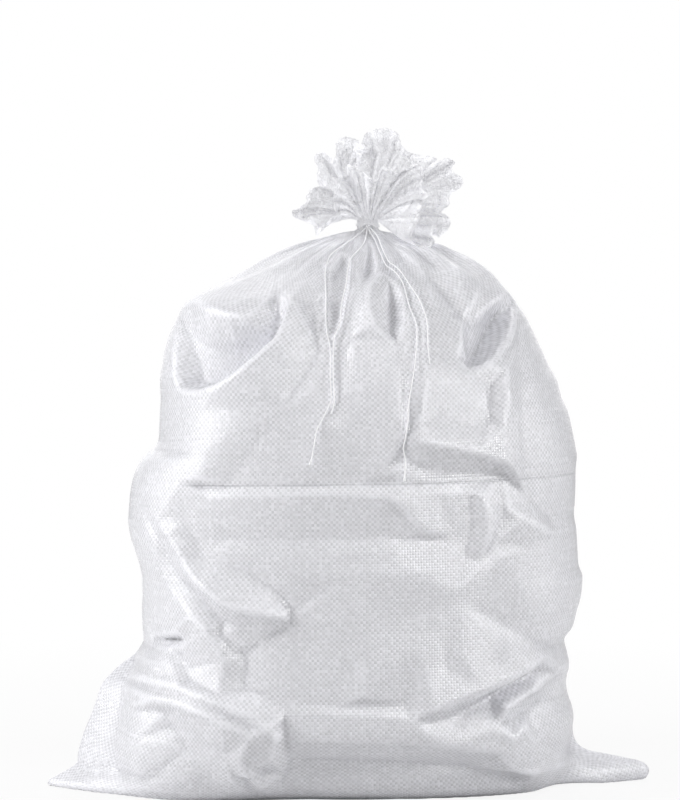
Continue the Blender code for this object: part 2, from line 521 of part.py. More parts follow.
def twine_curve(name, points, cyclic=False):
    """A tube of twine along the given points."""
    curve = bpy.data.curves.new(name, "CURVE")
    curve.dimensions = "3D"
    curve.bevel_depth = TWINE_DIAMETER / 2
    curve.bevel_resolution = 2
    curve.use_fill_caps = not cyclic
    spline = curve.splines.new("POLY")
    spline.points.add(len(points) - 1)
    spline.points.foreach_set("co", np.column_stack([points, np.ones(len(points))]).ravel())
    spline.use_cyclic_u = cyclic
    spline.use_smooth = True
    return bpy.data.objects.new(name, curve)


def as_mesh(curve_object):
    """The curve object as a mesh object with its caps welded, in the same place."""
    bpy.context.scene.collection.objects.link(curve_object)
    graph = bpy.context.evaluated_depsgraph_get()
    mesh = bpy.data.meshes.new_from_object(curve_object.evaluated_get(graph))
    shell = bmesh.new()
    shell.from_mesh(mesh)
    bmesh.ops.remove_doubles(shell, verts=shell.verts, dist=0.00001)
    bmesh.ops.recalc_face_normals(shell, faces=shell.faces)
    shell.to_mesh(mesh)
    shell.free()
    name = curve_object.name
    place = curve_object.matrix_world.copy()
    bpy.data.objects.remove(curve_object)
    mesh_object = bpy.data.objects.new(name, mesh)
    mesh_object.matrix_world = place
    return mesh_object


def wrap_points():
    """A coil round the neck: x and y turn on a circle while z climbs by the pitch."""
    radius = NECK_RADIUS + GAP + TWINE_DIAMETER / 2
    turn = np.linspace(0.0, 2 * math.pi * TWINE_TURNS, int(TWINE_TURNS * 26))
    start = -math.pi * (0.5 + TWINE_TURNS)
    climb = TWINE_PITCH * (turn / (2 * math.pi) - TWINE_TURNS / 2)
    return np.column_stack([NECK_X + radius * np.cos(turn + start),
                            radius * np.sin(turn + start),
                            BODY_HEIGHT + climb])


def knot_points():
    """A three-lobed knot: (sin t + 2 sin 2t, cos t - 2 cos 2t, -sin 3t), facing the front."""
    t = np.linspace(0.0, 2 * math.pi, 42, endpoint=False)
    across = np.sin(t) + 2 * np.sin(2 * t)
    up = np.cos(t) - 2 * np.cos(2 * t)
    out = -np.sin(3 * t)
    front = -(NECK_RADIUS + GAP + 1.5 * TWINE_DIAMETER)
    return np.column_stack([NECK_X + KNOT_SCALE * across,
                            front + KNOT_SCALE * out,
                            BODY_HEIGHT + KNOT_SCALE * up])


def make_tie(cutters):
    """The twine round the neck and its knot, as one solid."""
    tie = as_mesh(twine_curve("neck_tie", wrap_points()))
    knot = as_mesh(twine_curve("knot_cutter", knot_points(), cyclic=True))
    knot.display_type = "WIRE"
    knot.hide_render = True
    cutters.objects.link(knot)
    union = tie.modifiers.new("knot", "BOOLEAN")
    union.operation = "UNION"
    union.solver = "EXACT"
    union.object = knot
    tie.data.shade_smooth()
    return tie


def make_tie_end(name, route):
    """One loose end of the twine, a smooth tube through its route's points."""
    fine = flow(route, len(route) * 20)
    length = np.linalg.norm(np.diff(fine, axis=0), axis=1).sum()
    return twine_curve(name, flow(route, int(round(length / TWINE_POINT_STEP)) + 1))


def material(name, colour, roughness):
    """A plain finish for one sub-part."""
    finish = bpy.data.materials.new(name)
    finish.use_nodes = True
    shader = finish.node_tree.nodes["Principled BSDF"]
    shader.inputs["Base Color"].default_value = (*colour, 1.0)
    shader.inputs["Roughness"].default_value = roughness
    shader.inputs["Metallic"].default_value = 0.0
    return finish


def main():
    for old in list(bpy.data.objects):
        bpy.data.objects.remove(old, do_unlink=True)
    parts = bpy.data.collections.new("rubble_sack")
    cutters = bpy.data.collections.new("cutters")
    for collection in (parts, cutters):
        bpy.context.scene.collection.children.link(collection)

    sack = make_sack()
    sack.data.materials.append(material("woven_white", (0.80, 0.80, 0.83), 0.45))
    twine = material("twine_clear_white", (0.82, 0.82, 0.84), 0.40)
    twine_pieces = [make_tie(cutters)]
    twine_pieces += [make_tie_end(name, route) for name, route in TIE_ENDS.items()]
    for piece in twine_pieces:
        piece.data.materials.append(twine)
    for piece in [sack] + twine_pieces:
        parts.objects.link(piece)


main()
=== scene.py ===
"""A filled woven rubble sack, tied at the neck with twine.

Metres, +Z up. The sack faces -Y, +X is to its right, and the floor is z = 0.
"""

import math

import bpy
import numpy as np
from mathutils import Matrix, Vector
from mathutils.geometry import delaunay_2d_cdt


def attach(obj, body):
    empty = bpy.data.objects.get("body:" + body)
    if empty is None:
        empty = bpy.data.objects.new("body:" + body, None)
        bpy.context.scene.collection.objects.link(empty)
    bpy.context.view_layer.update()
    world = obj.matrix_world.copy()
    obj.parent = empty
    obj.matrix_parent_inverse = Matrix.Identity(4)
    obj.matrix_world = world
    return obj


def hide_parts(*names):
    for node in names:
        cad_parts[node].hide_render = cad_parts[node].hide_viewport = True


bl_info = {
    "name": "Rubble Sack",
    "version": (1, 0, 0),
    "blender": (4, 5, 0),
    "location": "3D View > Sidebar > Rubble Sack",
    "description": "Makes the cloth, twine and stage of a filled woven rubble sack",
    "category": "Add Mesh",
}

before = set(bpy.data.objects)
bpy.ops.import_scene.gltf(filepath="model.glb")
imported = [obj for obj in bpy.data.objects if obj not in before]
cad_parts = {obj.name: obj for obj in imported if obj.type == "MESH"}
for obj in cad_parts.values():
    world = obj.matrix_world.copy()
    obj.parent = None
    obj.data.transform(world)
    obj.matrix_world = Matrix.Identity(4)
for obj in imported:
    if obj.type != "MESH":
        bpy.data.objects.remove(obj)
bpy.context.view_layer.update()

# The cloth as it was cut: a flat tube, sewn shut across its bottom
FLAT_WIDTH = 0.600
FRILL_LENGTH = 0.14        # from the tie to the hemmed mouth
TAPE_WIDTH = 0.00254

# Where the tie grips
NECK_X = 0.0172
NECK_Z = 0.544
NECK_RADIUS = 0.0105
NECK_LENGTH = 0.009

# How far the filled sack reaches to the left and to the right:
# height, left, right, in millimetres
REACH = np.array((
    (0, -290, 286), (4, -293, 291), (10, -285, 293), (18, -271, 286), (24, -264, 262),
    (30, -263.5, 236), (36, -262.5, 227), (55, -257, 221.5), (70, -251, 220.5), (85, -246, 213),
    (99, -241, 209.5), (114, -227, 213.5), (129, -207.5, 210.5), (143, -200.5, 207.5),
    (158, -201.5, 216), (173, -201.5, 220), (188, -200.5, 224), (203, -200.5, 225),
    (217, -203, 221), (232, -208, 220), (247, -213, 219), (261, -215, 218), (276, -214, 219),
    (291, -212, 219.5), (306, -208, 219.5), (320, -200, 220.5), (330, -188, 219),
    (340, -185, 217), (364, -184, 211.5), (379, -183, 205), (394, -183, 201), (408, -181, 193),
    (423, -179, 186), (437, -175, 179), (452, -168.5, 171), (467, -159.5, 160.5),
    (481, -136, 147), (496, -104, 133), (510, -77, 111), (520, -54, 90), (529, -30, 62),
    (535, -12, 43), (539.5, 6.7, 27.7),
)) / 1000
# The filled body under its folds and inside its ears, in the same way. From 437 mm up it is
# as wide as the sack.
FLANKS = np.vstack([np.array((
    (0, -220, 206), (12, -224, 210), (28, -226, 213), (75, -222, 218.5), (130, -212, 215),
    (200, -207, 219.5), (260, -207, 219.5), (320, -198, 218.5), (364, -188, 211.5),
    (408, -181, 194),
)) / 1000, REACH[-10:]])
# How far it reaches to the front and to the back, in millimetres, and how boxy it is:
# height, front, back, squareness. A squareness of 2 is an ellipse.
DEPTHS = np.array((
    (0, -103, 112, 2.3), (5, -116, 124, 2.3), (12, -127, 134, 2.3), (28, -142, 147, 2.3),
    (45, -151, 153, 2.3), (75, -157, 158, 2.3), (130, -155, 157, 2.4), (165, -153, 157, 2.5),
    (262, -153, 157, 2.5), (335, -151, 153, 2.5), (380, -145, 147, 2.45), (420, -133, 136, 2.35),
    (450, -120, 123, 2.3), (470, -107, 110, 2.25), (490, -89, 91, 2.15), (505, -69, 71, 2.05),
    (520, -47, 47, 2), (531, -29, 29, 2), (539.5, -10.5, 10.5, 2),
)) / (1000, 1000, 1000, 1)
# Bottom corners, which stand out as ears: height, how far the left and the right one pass
# the body, and the half thickness of each where it joins the body, in millimetres
EARS = np.array((
    (0, 70, 80, 116, 45), (12, 60, 83, 122, 40), (28, 40, 30, 122, 30), (45, 35, 8, 120, 15),
    (75, 28, 0, 112, 0), (101, 22, 0, 95, 0), (116, 14, 0, 65, 0), (130, 0, 0, 25, 0),
    (150, 0, 0, 0, 0),
)) / 1000
EAR_EDGE = 0.0025
EAR_TAPER = 3.2            # how late an ear thins out towards its tip
EAR_ROOT = (0.170, 0.200)  # x where the body ends, and where the right ear has begun
EAR_TOP = (0.130, 0.100)   # heights where that ear has ended, and up to which it is whole
EAR_BLADE = (0.250, 0.215) # x between which its root passes into its flat blade
ROOT_PASSES = 14           # times that its root is evened out
LEFT_EAR_LEAN = -0.030
RIGHT_EAR_LEAN = 0.012
# The bottom seam's line on the floor: share of the width, y
SEAM_LINE = np.array(((0.0, -0.030), (0.12, -0.010), (0.3, 0.020), (0.5, 0.030),
                      (0.7, 0.030), (0.88, 0.020), (1.0, 0.012)))

# The photograph's viewpoint
CAMERA_AIM = (-0.00975, 0.0, 0.374)
CAMERA_ELEVATION = math.radians(3.0)
CAMERA_DISTANCE = 3.0
# The direction from what the camera aims at to the camera
CAMERA_AWAY = np.array((0.0, -math.cos(CAMERA_ELEVATION), math.sin(CAMERA_ELEVATION)))

# Folds of the front, as seen from the camera and measured on the plane y = 0:
# x, z and how far the cloth stands out there, all in millimetres. Each is one crease line.
FRONT_FOLDS = {
    "shoulder_crest": ((-150, 469, 8), (-132, 458, 10), (-115, 453, 10), (-100, 450, 7),
        (-86, 464, 3), (-72, 481, 2), (-61, 490, 2)),
    "pocket_rim": ((-167, 454, 3), (-168, 428, 5), (-167, 401, 7), (-163, 385, 5)),
    "pocket_left": ((-159, 439, -12), (-160, 418, -19), (-158, 397, -24)),
    "pocket_middle": ((-141, 428, -19), (-119, 428, -24), (-97, 438, -20)),
    "pocket_floor": ((-150, 393, -27), (-140, 394, -34), (-125, 397, -37), (-109, 409, -37),
        (-94, 423, -32), (-81, 436, -24), (-70, 457, -14)),
    "shelf_lip": ((-158, 383, 7), (-146, 382, 8), (-127, 387, 12), (-107, 400, 12),
        (-86, 419, 10), (-72, 431, 10), (-65, 447, 8), (-59, 470, 7), (-57, 475, 3)),
    "left_edge_strip": ((-165, 364, 3), (-163, 325, 5), (-164, 296, 5)),
    "left_front_bend": ((-141, 364, 7), (-139, 325, 7), (-143, 298, 5)),
    "shoulder_line": ((-52, 481, 3), (-43, 492, 3), (-25, 508, 3), (-13, 523, 2)),
    "first_pleat_floor": ((-43, 469, -3), (-29, 471, -8), (-28, 447, -10), (-28, 429, -7)),
    "first_pleat_ridge": ((-52, 464, 5), (-44, 450, 5), (-36, 436, 3), (-30, 426, 0)),
    "second_pleat_floor": ((-4, 508, -5), (-8, 487, -10), (-14, 466, -14), (-17, 448, -12),
        (-19, 433, -7)),
    "second_pleat_left": ((-21, 508, 0), (-21, 481, -4), (-22, 442, -5)),
    "second_pleat_right": ((4, 508, 2), (3, 481, 1), (-1, 452, 1), (-7, 433, 1)),
    "valley_to_left": ((-27, 423, -4), (-37, 409, -4), (-49, 390, -2), (-62, 370, 0)),
    "bulge_left": ((12, 486, 4), (11, 462, 6), (6, 440, 4)),
    "arc_fold": ((-12, 426, -2), (-3, 433, -3), (9, 436, 0)),
    "bright_patch": ((0, 427, 3), (6, 401, 2)),
    "knot_pocket": ((18, 524, -8), (19, 508, -10), (29, 504, -3)),
    "leaf_left": ((31, 499, 3), (19, 483, 7), (17, 464, 8), (24, 444, 7), (40, 430, 5)),
    "leaf_floor": ((38, 489, -7), (42, 473, -12), (43, 458, -12), (41, 440, -5)),
    "leaf_right": ((48, 488, 2), (53, 471, 3), (53, 450, 3), (47, 429, 3)),
    "strip_ridge": ((41, 423, 5), (45, 394, 6), (48, 366, 6), (52, 345, 5)),
    "twine_valley": ((56, 475, -2), (64, 454, 0), (66, 428, 1), (61, 395, 1), (58, 369, 1),
        (58, 351, 0), (52, 331, -2), (43, 315, -3), (33, 304, 0)),
    "right_of_twine": ((75, 442, 4), (77, 403, 4), (72, 370, 5), (68, 347, 4)),
    "right_facet": ((78, 471, 5), (93, 456, 5), (108, 446, 5), (108, 428, 5), (103, 415, 3)),
    "right_lip": ((66, 508, 5), (88, 495, 10), (107, 490, 14), (126, 481, 15), (146, 471, 15),
        (156, 468, 12)),
    "right_lip_shade": ((78, 491, 0), (91, 477, 0), (101, 464, 0), (110, 454, -2)),
    "right_pocket": ((149, 462, -19), (143, 446, -26), (134, 430, -24), (125, 415, -15)),
    "right_pocket_left": ((118, 450, -10), (119, 428, -14), (117, 411, -8)),
    "right_pocket_lip": ((158, 462, 8), (155, 444, 12), (149, 428, 12), (140, 413, 10),
        (127, 404, 7), (115, 402, 5)),
    "right_upright": ((148, 399, 12), (149, 372, 12), (147, 347, 8)),
    "upright_left": ((135, 386, 0), (135, 354, 0)),
    "upright_right": ((162, 428, 2), (166, 394, 0), (168, 354, 0)),
    "brow": ((49, 339, 5), (68, 334, 7), (93, 330, 8), (122, 323, 8), (140, 316, 9),
        (152, 309, 9), (161, 301, 5)),
    "brow_under": ((61, 311, -2), (98, 306, -2), (134, 304, -3), (147, 301, -4), (159, 294, -3)),
    "brow_hollow": ((88, 359, 0), (117, 350, 2), (127, 374, 3)),
    "half_crease": ((-146, 289, -1), (-119, 290, -2), (-49, 292, -3), (10, 294, -3),
        (88, 296, -3), (146, 297, -3), (160, 296, -1)),
    "half_ridge": ((-142, 280, 1), (-88, 281, 1), (-10, 283, 1), (78, 284, 1), (113, 284, 1)),
    "half_slope": ((-162, 257, 0), (-120, 257, -1), (-10, 257, -1), (22, 257, -1)),
    "second_step": ((-152, 239, -1), (-120, 239, -3), (-10, 239, -3), (49, 239, -3),
        (104, 238, -2)),
    "second_rise": ((-146, 226, 0), (-88, 226, 0), (-10, 226, 0), (49, 226, 0), (104, 225, 0)),
    "dark_wedge": ((33, 278, 2), (47, 264, -1), (57, 253, -1), (65, 245, 0)),
    "wedge_right": ((41, 279, 4), (59, 262, 3), (73, 245, 1)),
    "lower_swell": ((-44, 203, 2), (0, 201, 2), (68, 203, 3), (103, 188, 3)),
    "kite_left": ((130, 284, 5), (134, 264, 8), (134, 244, 8), (127, 217, 3)),
    "kite_front": ((117, 280, 0), (119, 250, -1), (114, 222, -1)),
    "kite_inner": ((146, 277, 0), (146, 258, 1), (140, 236, 2)),
    "kite_ridge": ((152, 270, 5), (166, 259, 9), (184, 250, 9), (199, 243, 5)),
    "kite_foot": ((132, 217, 5), (147, 223, 7), (172, 231, 5)),
    "kite_valley": ((154, 288, 0), (176, 276, -3), (193, 259, -3)),
    "first_fold_crest": ((-203, 281, 3), (-186, 259, 6), (-174, 243, 8), (-163, 225, 10),
        (-154, 210, 12), (-142, 195, 14), (-126, 181, 15), (-108, 172, 15), (-86, 167, 14),
        (-68, 164, 11)),
    "tongue_top": ((-151, 221, 4), (-141, 217, 2), (-122, 213, 0), (-98, 203, -1), (-80, 191, -1),
        (-67, 180, -2), (-60, 168, -2)),
    "tongue_tip": ((-58, 158, 0), (-65, 148, 0), (-84, 140, 1), (-106, 134, 2), (-116, 131, 3)),
    "tongue_face": ((-108, 156, 5), (-86, 156, 7), (-73, 157, 8)),
    "first_valley": ((-195, 256, 1), (-178, 228, 1), (-165, 202, 2), (-140, 176, 2),
        (-124, 158, 2), (-124, 142, 3)),
    "second_fold_crest": ((-203, 268, 2), (-190, 242, 6), (-181, 213, 8), (-165, 184, 10),
        (-150, 163, 12), (-137, 149, 12), (-127, 137, 11), (-122, 119, 8), (-125, 99, 7),
        (-128, 83, 8)),
    "front_drop": ((-103, 126, -2), (-101, 108, -2), (-104, 90, -1)),
    "front_left": ((-82, 126, 0), (-80, 104, 0), (-84, 84, 0)),
    "notch": ((-188, 138, -5), (-179, 138, -12), (-170, 138, -8), (-163, 137, 1)),
    "notch_lip": ((-192, 143, 3), (-176, 143, 4), (-160, 142, 4)),
    "notch_under": ((-190, 133, 1), (-176, 132, 0), (-162, 132, 3)),
    "notch_spur": ((-181, 126, 3), (-174, 114, 4), (-168, 104, 5)),
    "notch_fall": ((-167, 124, -3), (-162, 112, -3), (-158, 101, 0)),
    "spike_back": ((-227, 104, 2), (-195, 98, 6), (-163, 90, 10), (-130, 78, 14), (-100, 65, 16),
        (-80, 52, 16), (-73, 43, 12)),
    "spike_groove": ((-205, 93, 0), (-186, 87, 3), (-153, 79, 8), (-120, 66, 10), (-98, 54, 10)),
    "spike_front": ((-221, 92, 3), (-185, 80, 8), (-153, 71, 12), (-124, 58, 14), (-98, 46, 12),
        (-77, 40, 10)),
    "spike_end": ((-66, 54, -1), (-63, 43, -2), (-61, 30, -5), (-58, 16, -9)),
    "foot_edge": ((-76, 33, 9), (-76, 23, 6)),
    "under_spike": ((-182, 70, -1), (-178, 54, -7), (-163, 32, -8), (-139, 6, -5)),
    "under_spike_right": ((-146, 48, 2), (-125, 26, 2), (-114, 6, 1)),
    "corner_ridge": ((-214, 72, 5), (-208, 42, 7), (-205, 12, 6), (-204, -4, 4)),
    "corner_grey": ((-236, 34, 0), (-226, 4, -2)),
    "first_foot_fold": ((-108, 20, 8), (-98, 8, 10), (-88, -2, 10), (-83, -14, 5)),
    "foot_fold_gap": ((-93, 15, 4), (-84, 8, -4), (-64, 2, -8)),
    "second_foot_fold": ((-116, 6, 3), (-108, -9, 5)),
    "foot_valley": ((-102, 1, -2), (-96, -14, -2)),
    "quarter_crease": ((-59, 75, -1), (-10, 75, -2), (54, 74, -2)),
    "quarter_lip": ((-64, 65, 1), (-10, 65, 2), (54, 64, 2)),
    "belly_edge": ((-53, 40, 0), (-10, 39, 1), (49, 38, 1), (94, 34, 2)),
    "belly_under": ((-39, 14, -14), (10, 10, -17), (69, 8, -17), (118, 5, -17), (162, -2, -14)),
    "right_ridge": ((62, 60, 3), (83, 70, 7), (108, 82, 10), (129, 90, 14), (152, 100, 15),
        (171, 110, 15), (186, 120, 12), (197, 131, 5)),
    "right_ridge_under": ((88, 61, -4), (116, 71, -10), (144, 84, -14), (162, 95, -13),
        (179, 108, -8)),
    "right_second": ((144, 56, 2), (151, 72, 7), (167, 85, 8), (184, 95, 8), (203, 108, 7)),
    "right_small_valley": ((161, 56, -5), (176, 68, -7), (192, 83, -8), (203, 96, -8)),
    "hip_ridge": ((147, 30, 7), (158, 44, 8), (168, 56, 7)),
    "hip_low": ((147, 22, 5), (159, 12, 7), (177, 7, 7), (206, 5, 5), (236, 4, 2)),
    "hip_face": ((182, 38, 3), (198, 22, 5)),
    "hip_valley": ((212, 64, -3), (211, 32, -5)),
    "first_patch": ((94, 134, 3), (110, 124, 7), (96, 111, 3)),
    "second_patch": ((54, 129, 3), (73, 117, 3)),
    "centre_low": ((12, 134, 3), (13, 85, 3)),
    "soft_band": ((29, 160, 1), (69, 168, 1), (106, 176, 2)),
}
# Folds of the back, which the photograph doesn't show: x, z and how far out, as above
BACK_FOLDS = {
    "left_shoulder_crest": ((-152, 462, 7), (-118, 456, 10), (-84, 470, 7), (-50, 492, 3)),
    "left_pocket": ((-148, 412, -17), (-122, 404, -29), (-98, 420, -26), (-78, 446, -14)),
    "left_shelf": ((-150, 384, 5), (-118, 378, 10), (-84, 396, 10), (-60, 428, 7)),
    "middle_pleat": ((-12, 506, -8), (-8, 474, -20), (-4, 440, -17), (2, 404, -5)),
    "middle_ridge": ((14, 500, 5), (20, 462, 8), (22, 420, 5)),
    "right_crest": ((44, 500, 3), (82, 480, 10), (126, 466, 10), (150, 456, 7)),
    "right_pocket": ((70, 452, -14), (96, 428, -29), (124, 416, -26), (148, 424, -12)),
    "right_shelf": ((58, 424, 5), (90, 398, 10), (128, 386, 10), (160, 388, 5)),
    "half_crease": ((-170, 288, -3), (-60, 292, -5), (40, 293, -5), (165, 290, -3)),
    "half_ridge": ((-150, 272, 2), (-40, 276, 3), (90, 274, 3)),
    "right_drape": ((196, 300, 3), (160, 276, 14), (122, 242, 15), (92, 214, 10), (70, 206, 3)),
    "right_drape_under": ((188, 262, -7), (150, 232, -17), (116, 208, -15), (84, 190, -7)),
    "left_drape": ((-196, 270, 3), (-162, 244, 14), (-126, 214, 15), (-96, 196, 8)),
    "left_drape_under": ((-190, 232, -7), (-152, 204, -17), (-118, 182, -15), (-88, 176, -5)),
    "left_low_ridge": ((-186, 140, 5), (-140, 128, 12), (-92, 112, 12), (-56, 92, 5)),
    "left_low_valley": ((-180, 112, -7), (-136, 100, -15), (-92, 82, -14), (-62, 66, -5)),
    "right_low_ridge": ((60, 86, 5), (100, 110, 12), (146, 124, 14), (186, 146, 7)),
    "right_low_valley": ((84, 76, -7), (120, 92, -15), (160, 104, -14), (190, 122, -7)),
    "quarter_crease": ((-60, 62, -2), (0, 63, -2), (60, 62, -2)),
    "swell": ((-40, 230, 3), (20, 214, 5), (40, 160, 5), (-20, 150, 5)),
}
FOLD_EDGE = 0.0016         # how softly the fold lines are rounded
FOLD_GRID = 0.001          # spacing of the relief that they are worked out on
FOLD_WINDOW = (-0.32, 0.32, -0.04, 0.56)   # left, right, bottom, top of that relief
FOLD_START = (0.002, 0.030)      # heights between which the folds begin
FOLD_END = (NECK_RADIUS, 0.05)   # distances from the neck's middle between which they end
RIM_POINTS = (14, 12)      # points along its level and its upright sides

# Gathers that run down from the neck: seed, how many, sharpness, height, the distances from
# the neck's middle where they start and are whole, and those where they end and first fade
PLEATS = (
    (3, 46, 0.8, 0.0008, NECK_RADIUS, 0.024, 0.095, 0.040),
    (5, 21, 0.9, 0.0018, 0.018, 0.045, 0.125, 0.065),
    (8, 11, 1.0, 0.0030, 0.04, 0.08, 0.165, 0.10),
)
PLEAT_START = (0.40, 0.47) # heights between which the gathers begin

FRONT_COLUMNS = 196        # points across the front of the cloth
BACK_COLUMNS = 124
COLUMNS = FRONT_COLUMNS + BACK_COLUMNS
BODY_ROWS = 212            # rows from the bottom seam to the neck
NECK_ROWS = 4
GATHER_ROWS = 8            # rows below the neck that start to let light through
FRILL_ROWS = 42
LIFT = 0.0006              # the cloth's underside over the floor
CURVE_STEPS = 24           # steps from one given point of a smooth curve to the next
OUTLINE_POINTS = 721       # points that a half outline is worked out on
DENSE_FROM = 0.45          # height from which the outlines follow each other closely

# How the cloth settles. Links: rows up, columns across, how fully a squeezed one pushes
# back, and its share of the move. The last two rows resist bending.
LINKS = ((0, 1, 0.9, 0.5), (1, 0, 0.9, 0.5), (1, 1, 0.4, 0.3), (1, -1, 0.4, 0.3),
         (0, 2, 0.30, 0.16), (2, 0, 0.30, 0.16))
CARRY = 0.86               # share of its last move that a point goes on with
BODY_SLACK = 0.008         # spare cloth, and how much more the shoulder and the frill have
SHOULDER_SLACK = 0.03
FRILL_SLACK = 0.06
SHOULDER = (0.17, 0.05)    # distances from the neck's middle where it begins and is whole
BODY_HOLD = 0.12           # how firmly the body's points seek their place
FRILL_HOLD = 0.06
BUCKLES = ((2.2, 0.0004), (5.0, 0.0006))   # bumps that start the buckles: width, height
SHARPEN_LIMIT = 0.0012     # how far a crest or a valley is moved at most
LEAST_RUN = 0.0008         # shortest distance between points that a bend is worked out for
MARKED = (0.015, 0.070)    # distances from the neck's middle over which creases set in
GATHERED = (0.42, 0.50)    # heights between which the tapes draw together to the neck
LIGHT_TAPES = 1.18         # the lightest and the darkest tapes, as shares of the colour
DARK_TAPES = 0.81
FRILL_PAINTED_GLOW = 0.65          # strength of the painted glow of the frill and of the twine, for light that scatters through them
TWINE_PAINTED_GLOW = 0.16

# Edge of the mouth, from the left, round the front, the right and the back, and how high
# the cloth arches on its way there from the tie: x, y, z and arch, all in millimetres. It
# sags where the arch is negative.
# Lobes follow each other round it, some flopped over and some standing.
MOUTH_EDGE = (
    (-27, 6, 581, 12), (-35, -8, 580, 12), (-46, -14, 565, 12), (-52, -18, 555, 14),
    (-43, -24, 545, 13), (-29, -30, 534, 14), (-20, -34, 557, 16), (-13, -30, 590, 12),
    (-7, -14, 594, 6), (0, -28, 602, 8), (9, -38, 597, 10), (24, -38, 588, 12),
    (33, -44, 600, 12), (41, -34, 597, 10), (49, -30, 594, 12), (57, -38, 601, 20),
    (64, -44, 601, 22), (72, -32, 593, 18), (75, -28, 580, 16), (71, -38, 566, 14),
    (65, -46, 552, 4), (63, -48, 536, -8), (69, -46, 526, -10), (77, -40, 522, -10),
    (83, -36, 528, -8), (86, -30, 543, -4), (91, -22, 534, -4), (97, -14, 537, -2),
    (96, -8, 550, 5), (93, 2, 557, 12), (100, 10, 569, 16), (104, 6, 586, 17), (106, 0, 600, 12),
    (99, -8, 608, 10), (92, 4, 605, 10), (88, 18, 610, 10), (76, 24, 612, 10), (61, 32, 615, 8),
    (50, 38, 622, 6), (46, 46, 634, 4), (37, 50, 640, 4), (26, 42, 636, 4), (18, 34, 626, 4),
    (14, 26, 620, 4), (6, 38, 628, 4), (-4, 42, 631, 6), (-10, 32, 625, 8), (-12, 20, 610, 8),
    (-19, 28, 612, 10), (-27, 24, 615, 12), (-33, 14, 607, 14), (-30, 6, 595, 14),
)
RUFFLES = 27
RUFFLE_HEIGHT = 0.0028
FRILL_CREASES = ((9.0, 0.0034), (4.5, 0.0034), (2.2, 0.0020))   # width in points, height
CLOTH_WALL = 0.0006        # thickness that the frill's mesh gets
FLAT_BEND = 22.0           # bends weaker than this, per metre, are no crease
SHARP_BEND = 130.0         # and stronger ones than this are full creases

# Creases from the folded sack: height where x is 0, and strength
LEVEL_CREASES = ((0.0885, 0.35), (0.197, 0.15), (0.3025, 0.9))
CREASE_SLOPE = 0.018       # they rise by this much to the right
MIDDLE_CREASE = 0.004      # x of the upright one

# Twine
TWINE_DIAMETER = 0.0012
TWINE_TURNS = 2.25
TWINE_PITCH = 0.0016
TWINE_LAY = 0.0052         # length of one turn of its twist
LAY_RINGS = 9              # rings of points in one such turn
TWINE_SIDES = 10
FRAY = 0.009               # length over which a long loose end comes apart
KNOT_SCALE = 0.00085
GAP = 0.0003
TWINE_BED = 0.00085        # from the middle of a loose end to the cloth behind it
PRESS = 0.006              # how far a loose end presses the cloth in at most
WIDE_BED = (0.016, 0.002)  # reach of that, and how far the cloth is drawn out, before it
CLOSE_BED = (0.0045, 0.0)  # settles and once it has settled

# Routes of the twine's loose ends, from the knot down the front:
# x, y, z, in tenths of a millimetre
TIE_ENDS = {name: np.array(route) / 10000 for name, route in {
    "tie_end_left_long": (
        (152, -136, 5415), (115, -196, 5377), (50, -283, 5330), (-40, -389, 5268),
        (-130, -496, 5205), (-200, -592, 5135), (-236, -725, 5004), (-233, -850, 4879),
        (-229, -959, 4764), (-229, -1103, 4548), (-219, -1175, 4437), (-188, -1265, 4272),
        (-188, -1365, 4034), (-180, -1436, 3833), (-209, -1462, 3741), (-265, -1493, 3631),
        (-312, -1519, 3540), (-329, -1539, 3448), (-353, -1558, 3311), (-376, -1564, 3218),
    ),
    "tie_end_left_short": (
        (165, -133, 5404), (158, -206, 5368), (148, -316, 5312), (120, -399, 5250),
        (60, -504, 5187), (6, -607, 5122), (-25, -762, 5002), (-40, -921, 4874),
        (-66, -986, 4780), (-87, -1069, 4659), (-90, -1144, 4549), (-110, -1180, 4484),
        (-143, -1215, 4410), (-158, -1258, 4310), (-160, -1367, 4034), (-150, -1430, 3851),
        (-157, -1457, 3759), (-184, -1475, 3686),
    ),
    "tie_end_right_long": (
        (179, -133, 5404), (198, -199, 5364), (235, -298, 5306), (276, -436, 5202),
        (336, -625, 5066), (385, -699, 5030), (431, -765, 4990), (476, -849, 4930),
        (509, -925, 4855), (533, -1012, 4753), (558, -1083, 4665), (593, -1155, 4578),
        (617, -1205, 4501), (620, -1265, 4391), (606, -1368, 4192), (579, -1452, 4019),
        (555, -1500, 3883), (537, -1532, 3754), (533, -1549, 3626), (505, -1555, 3459),
        (489, -1552, 3373), (507, -1549, 3264), (504, -1546, 3152), (501, -1544, 3068),
    ),
    "tie_end_right_short": (
        (191, -134, 5418), (224, -199, 5384), (266, -295, 5326), (306, -428, 5222),
        (364, -594, 5098), (414, -669, 5060), (462, -741, 5018), (508, -826, 4958),
        (552, -903, 4888), (600, -976, 4815), (642, -1033, 4748), (675, -1093, 4671),
        (707, -1159, 4578), (721, -1216, 4476), (722, -1288, 4321), (732, -1341, 4192),
        (741, -1361, 4146),
    ),
}.items()}

FLOOR_REACH = 60.0
SHADOW_REACH = (0.35, 1.2) # distances between which the floor's shadow fades out
# Lamps: place, width, height. Each points at the middle of the sack.
LAMPS = {
    "left": ((-2.3, -0.8, 1.2), 0.9, 1.6),
    "right": ((2.3, -0.6, 1.0), 0.9, 1.6),
    "top": ((0.2, -1.4, 2.3), 1.4, 0.9),
    "back": ((0.0, 2.6, 1.2), 3.0, 2.0),
    "rim": ((0.05, 1.1, 1.7), 0.8, 0.8),
    "front": ((1.3, -2.2, 0.85), 0.4, 0.5),
}
SACK_MIDDLE = Vector((0.0, 0.0, 0.3))


def lamp_power(title, about, watts):
    """The setting for one lamp's power."""
    return bpy.props.FloatProperty(name=title, description="Power of the " + about,
                                   default=watts, min=0.0, unit="POWER")


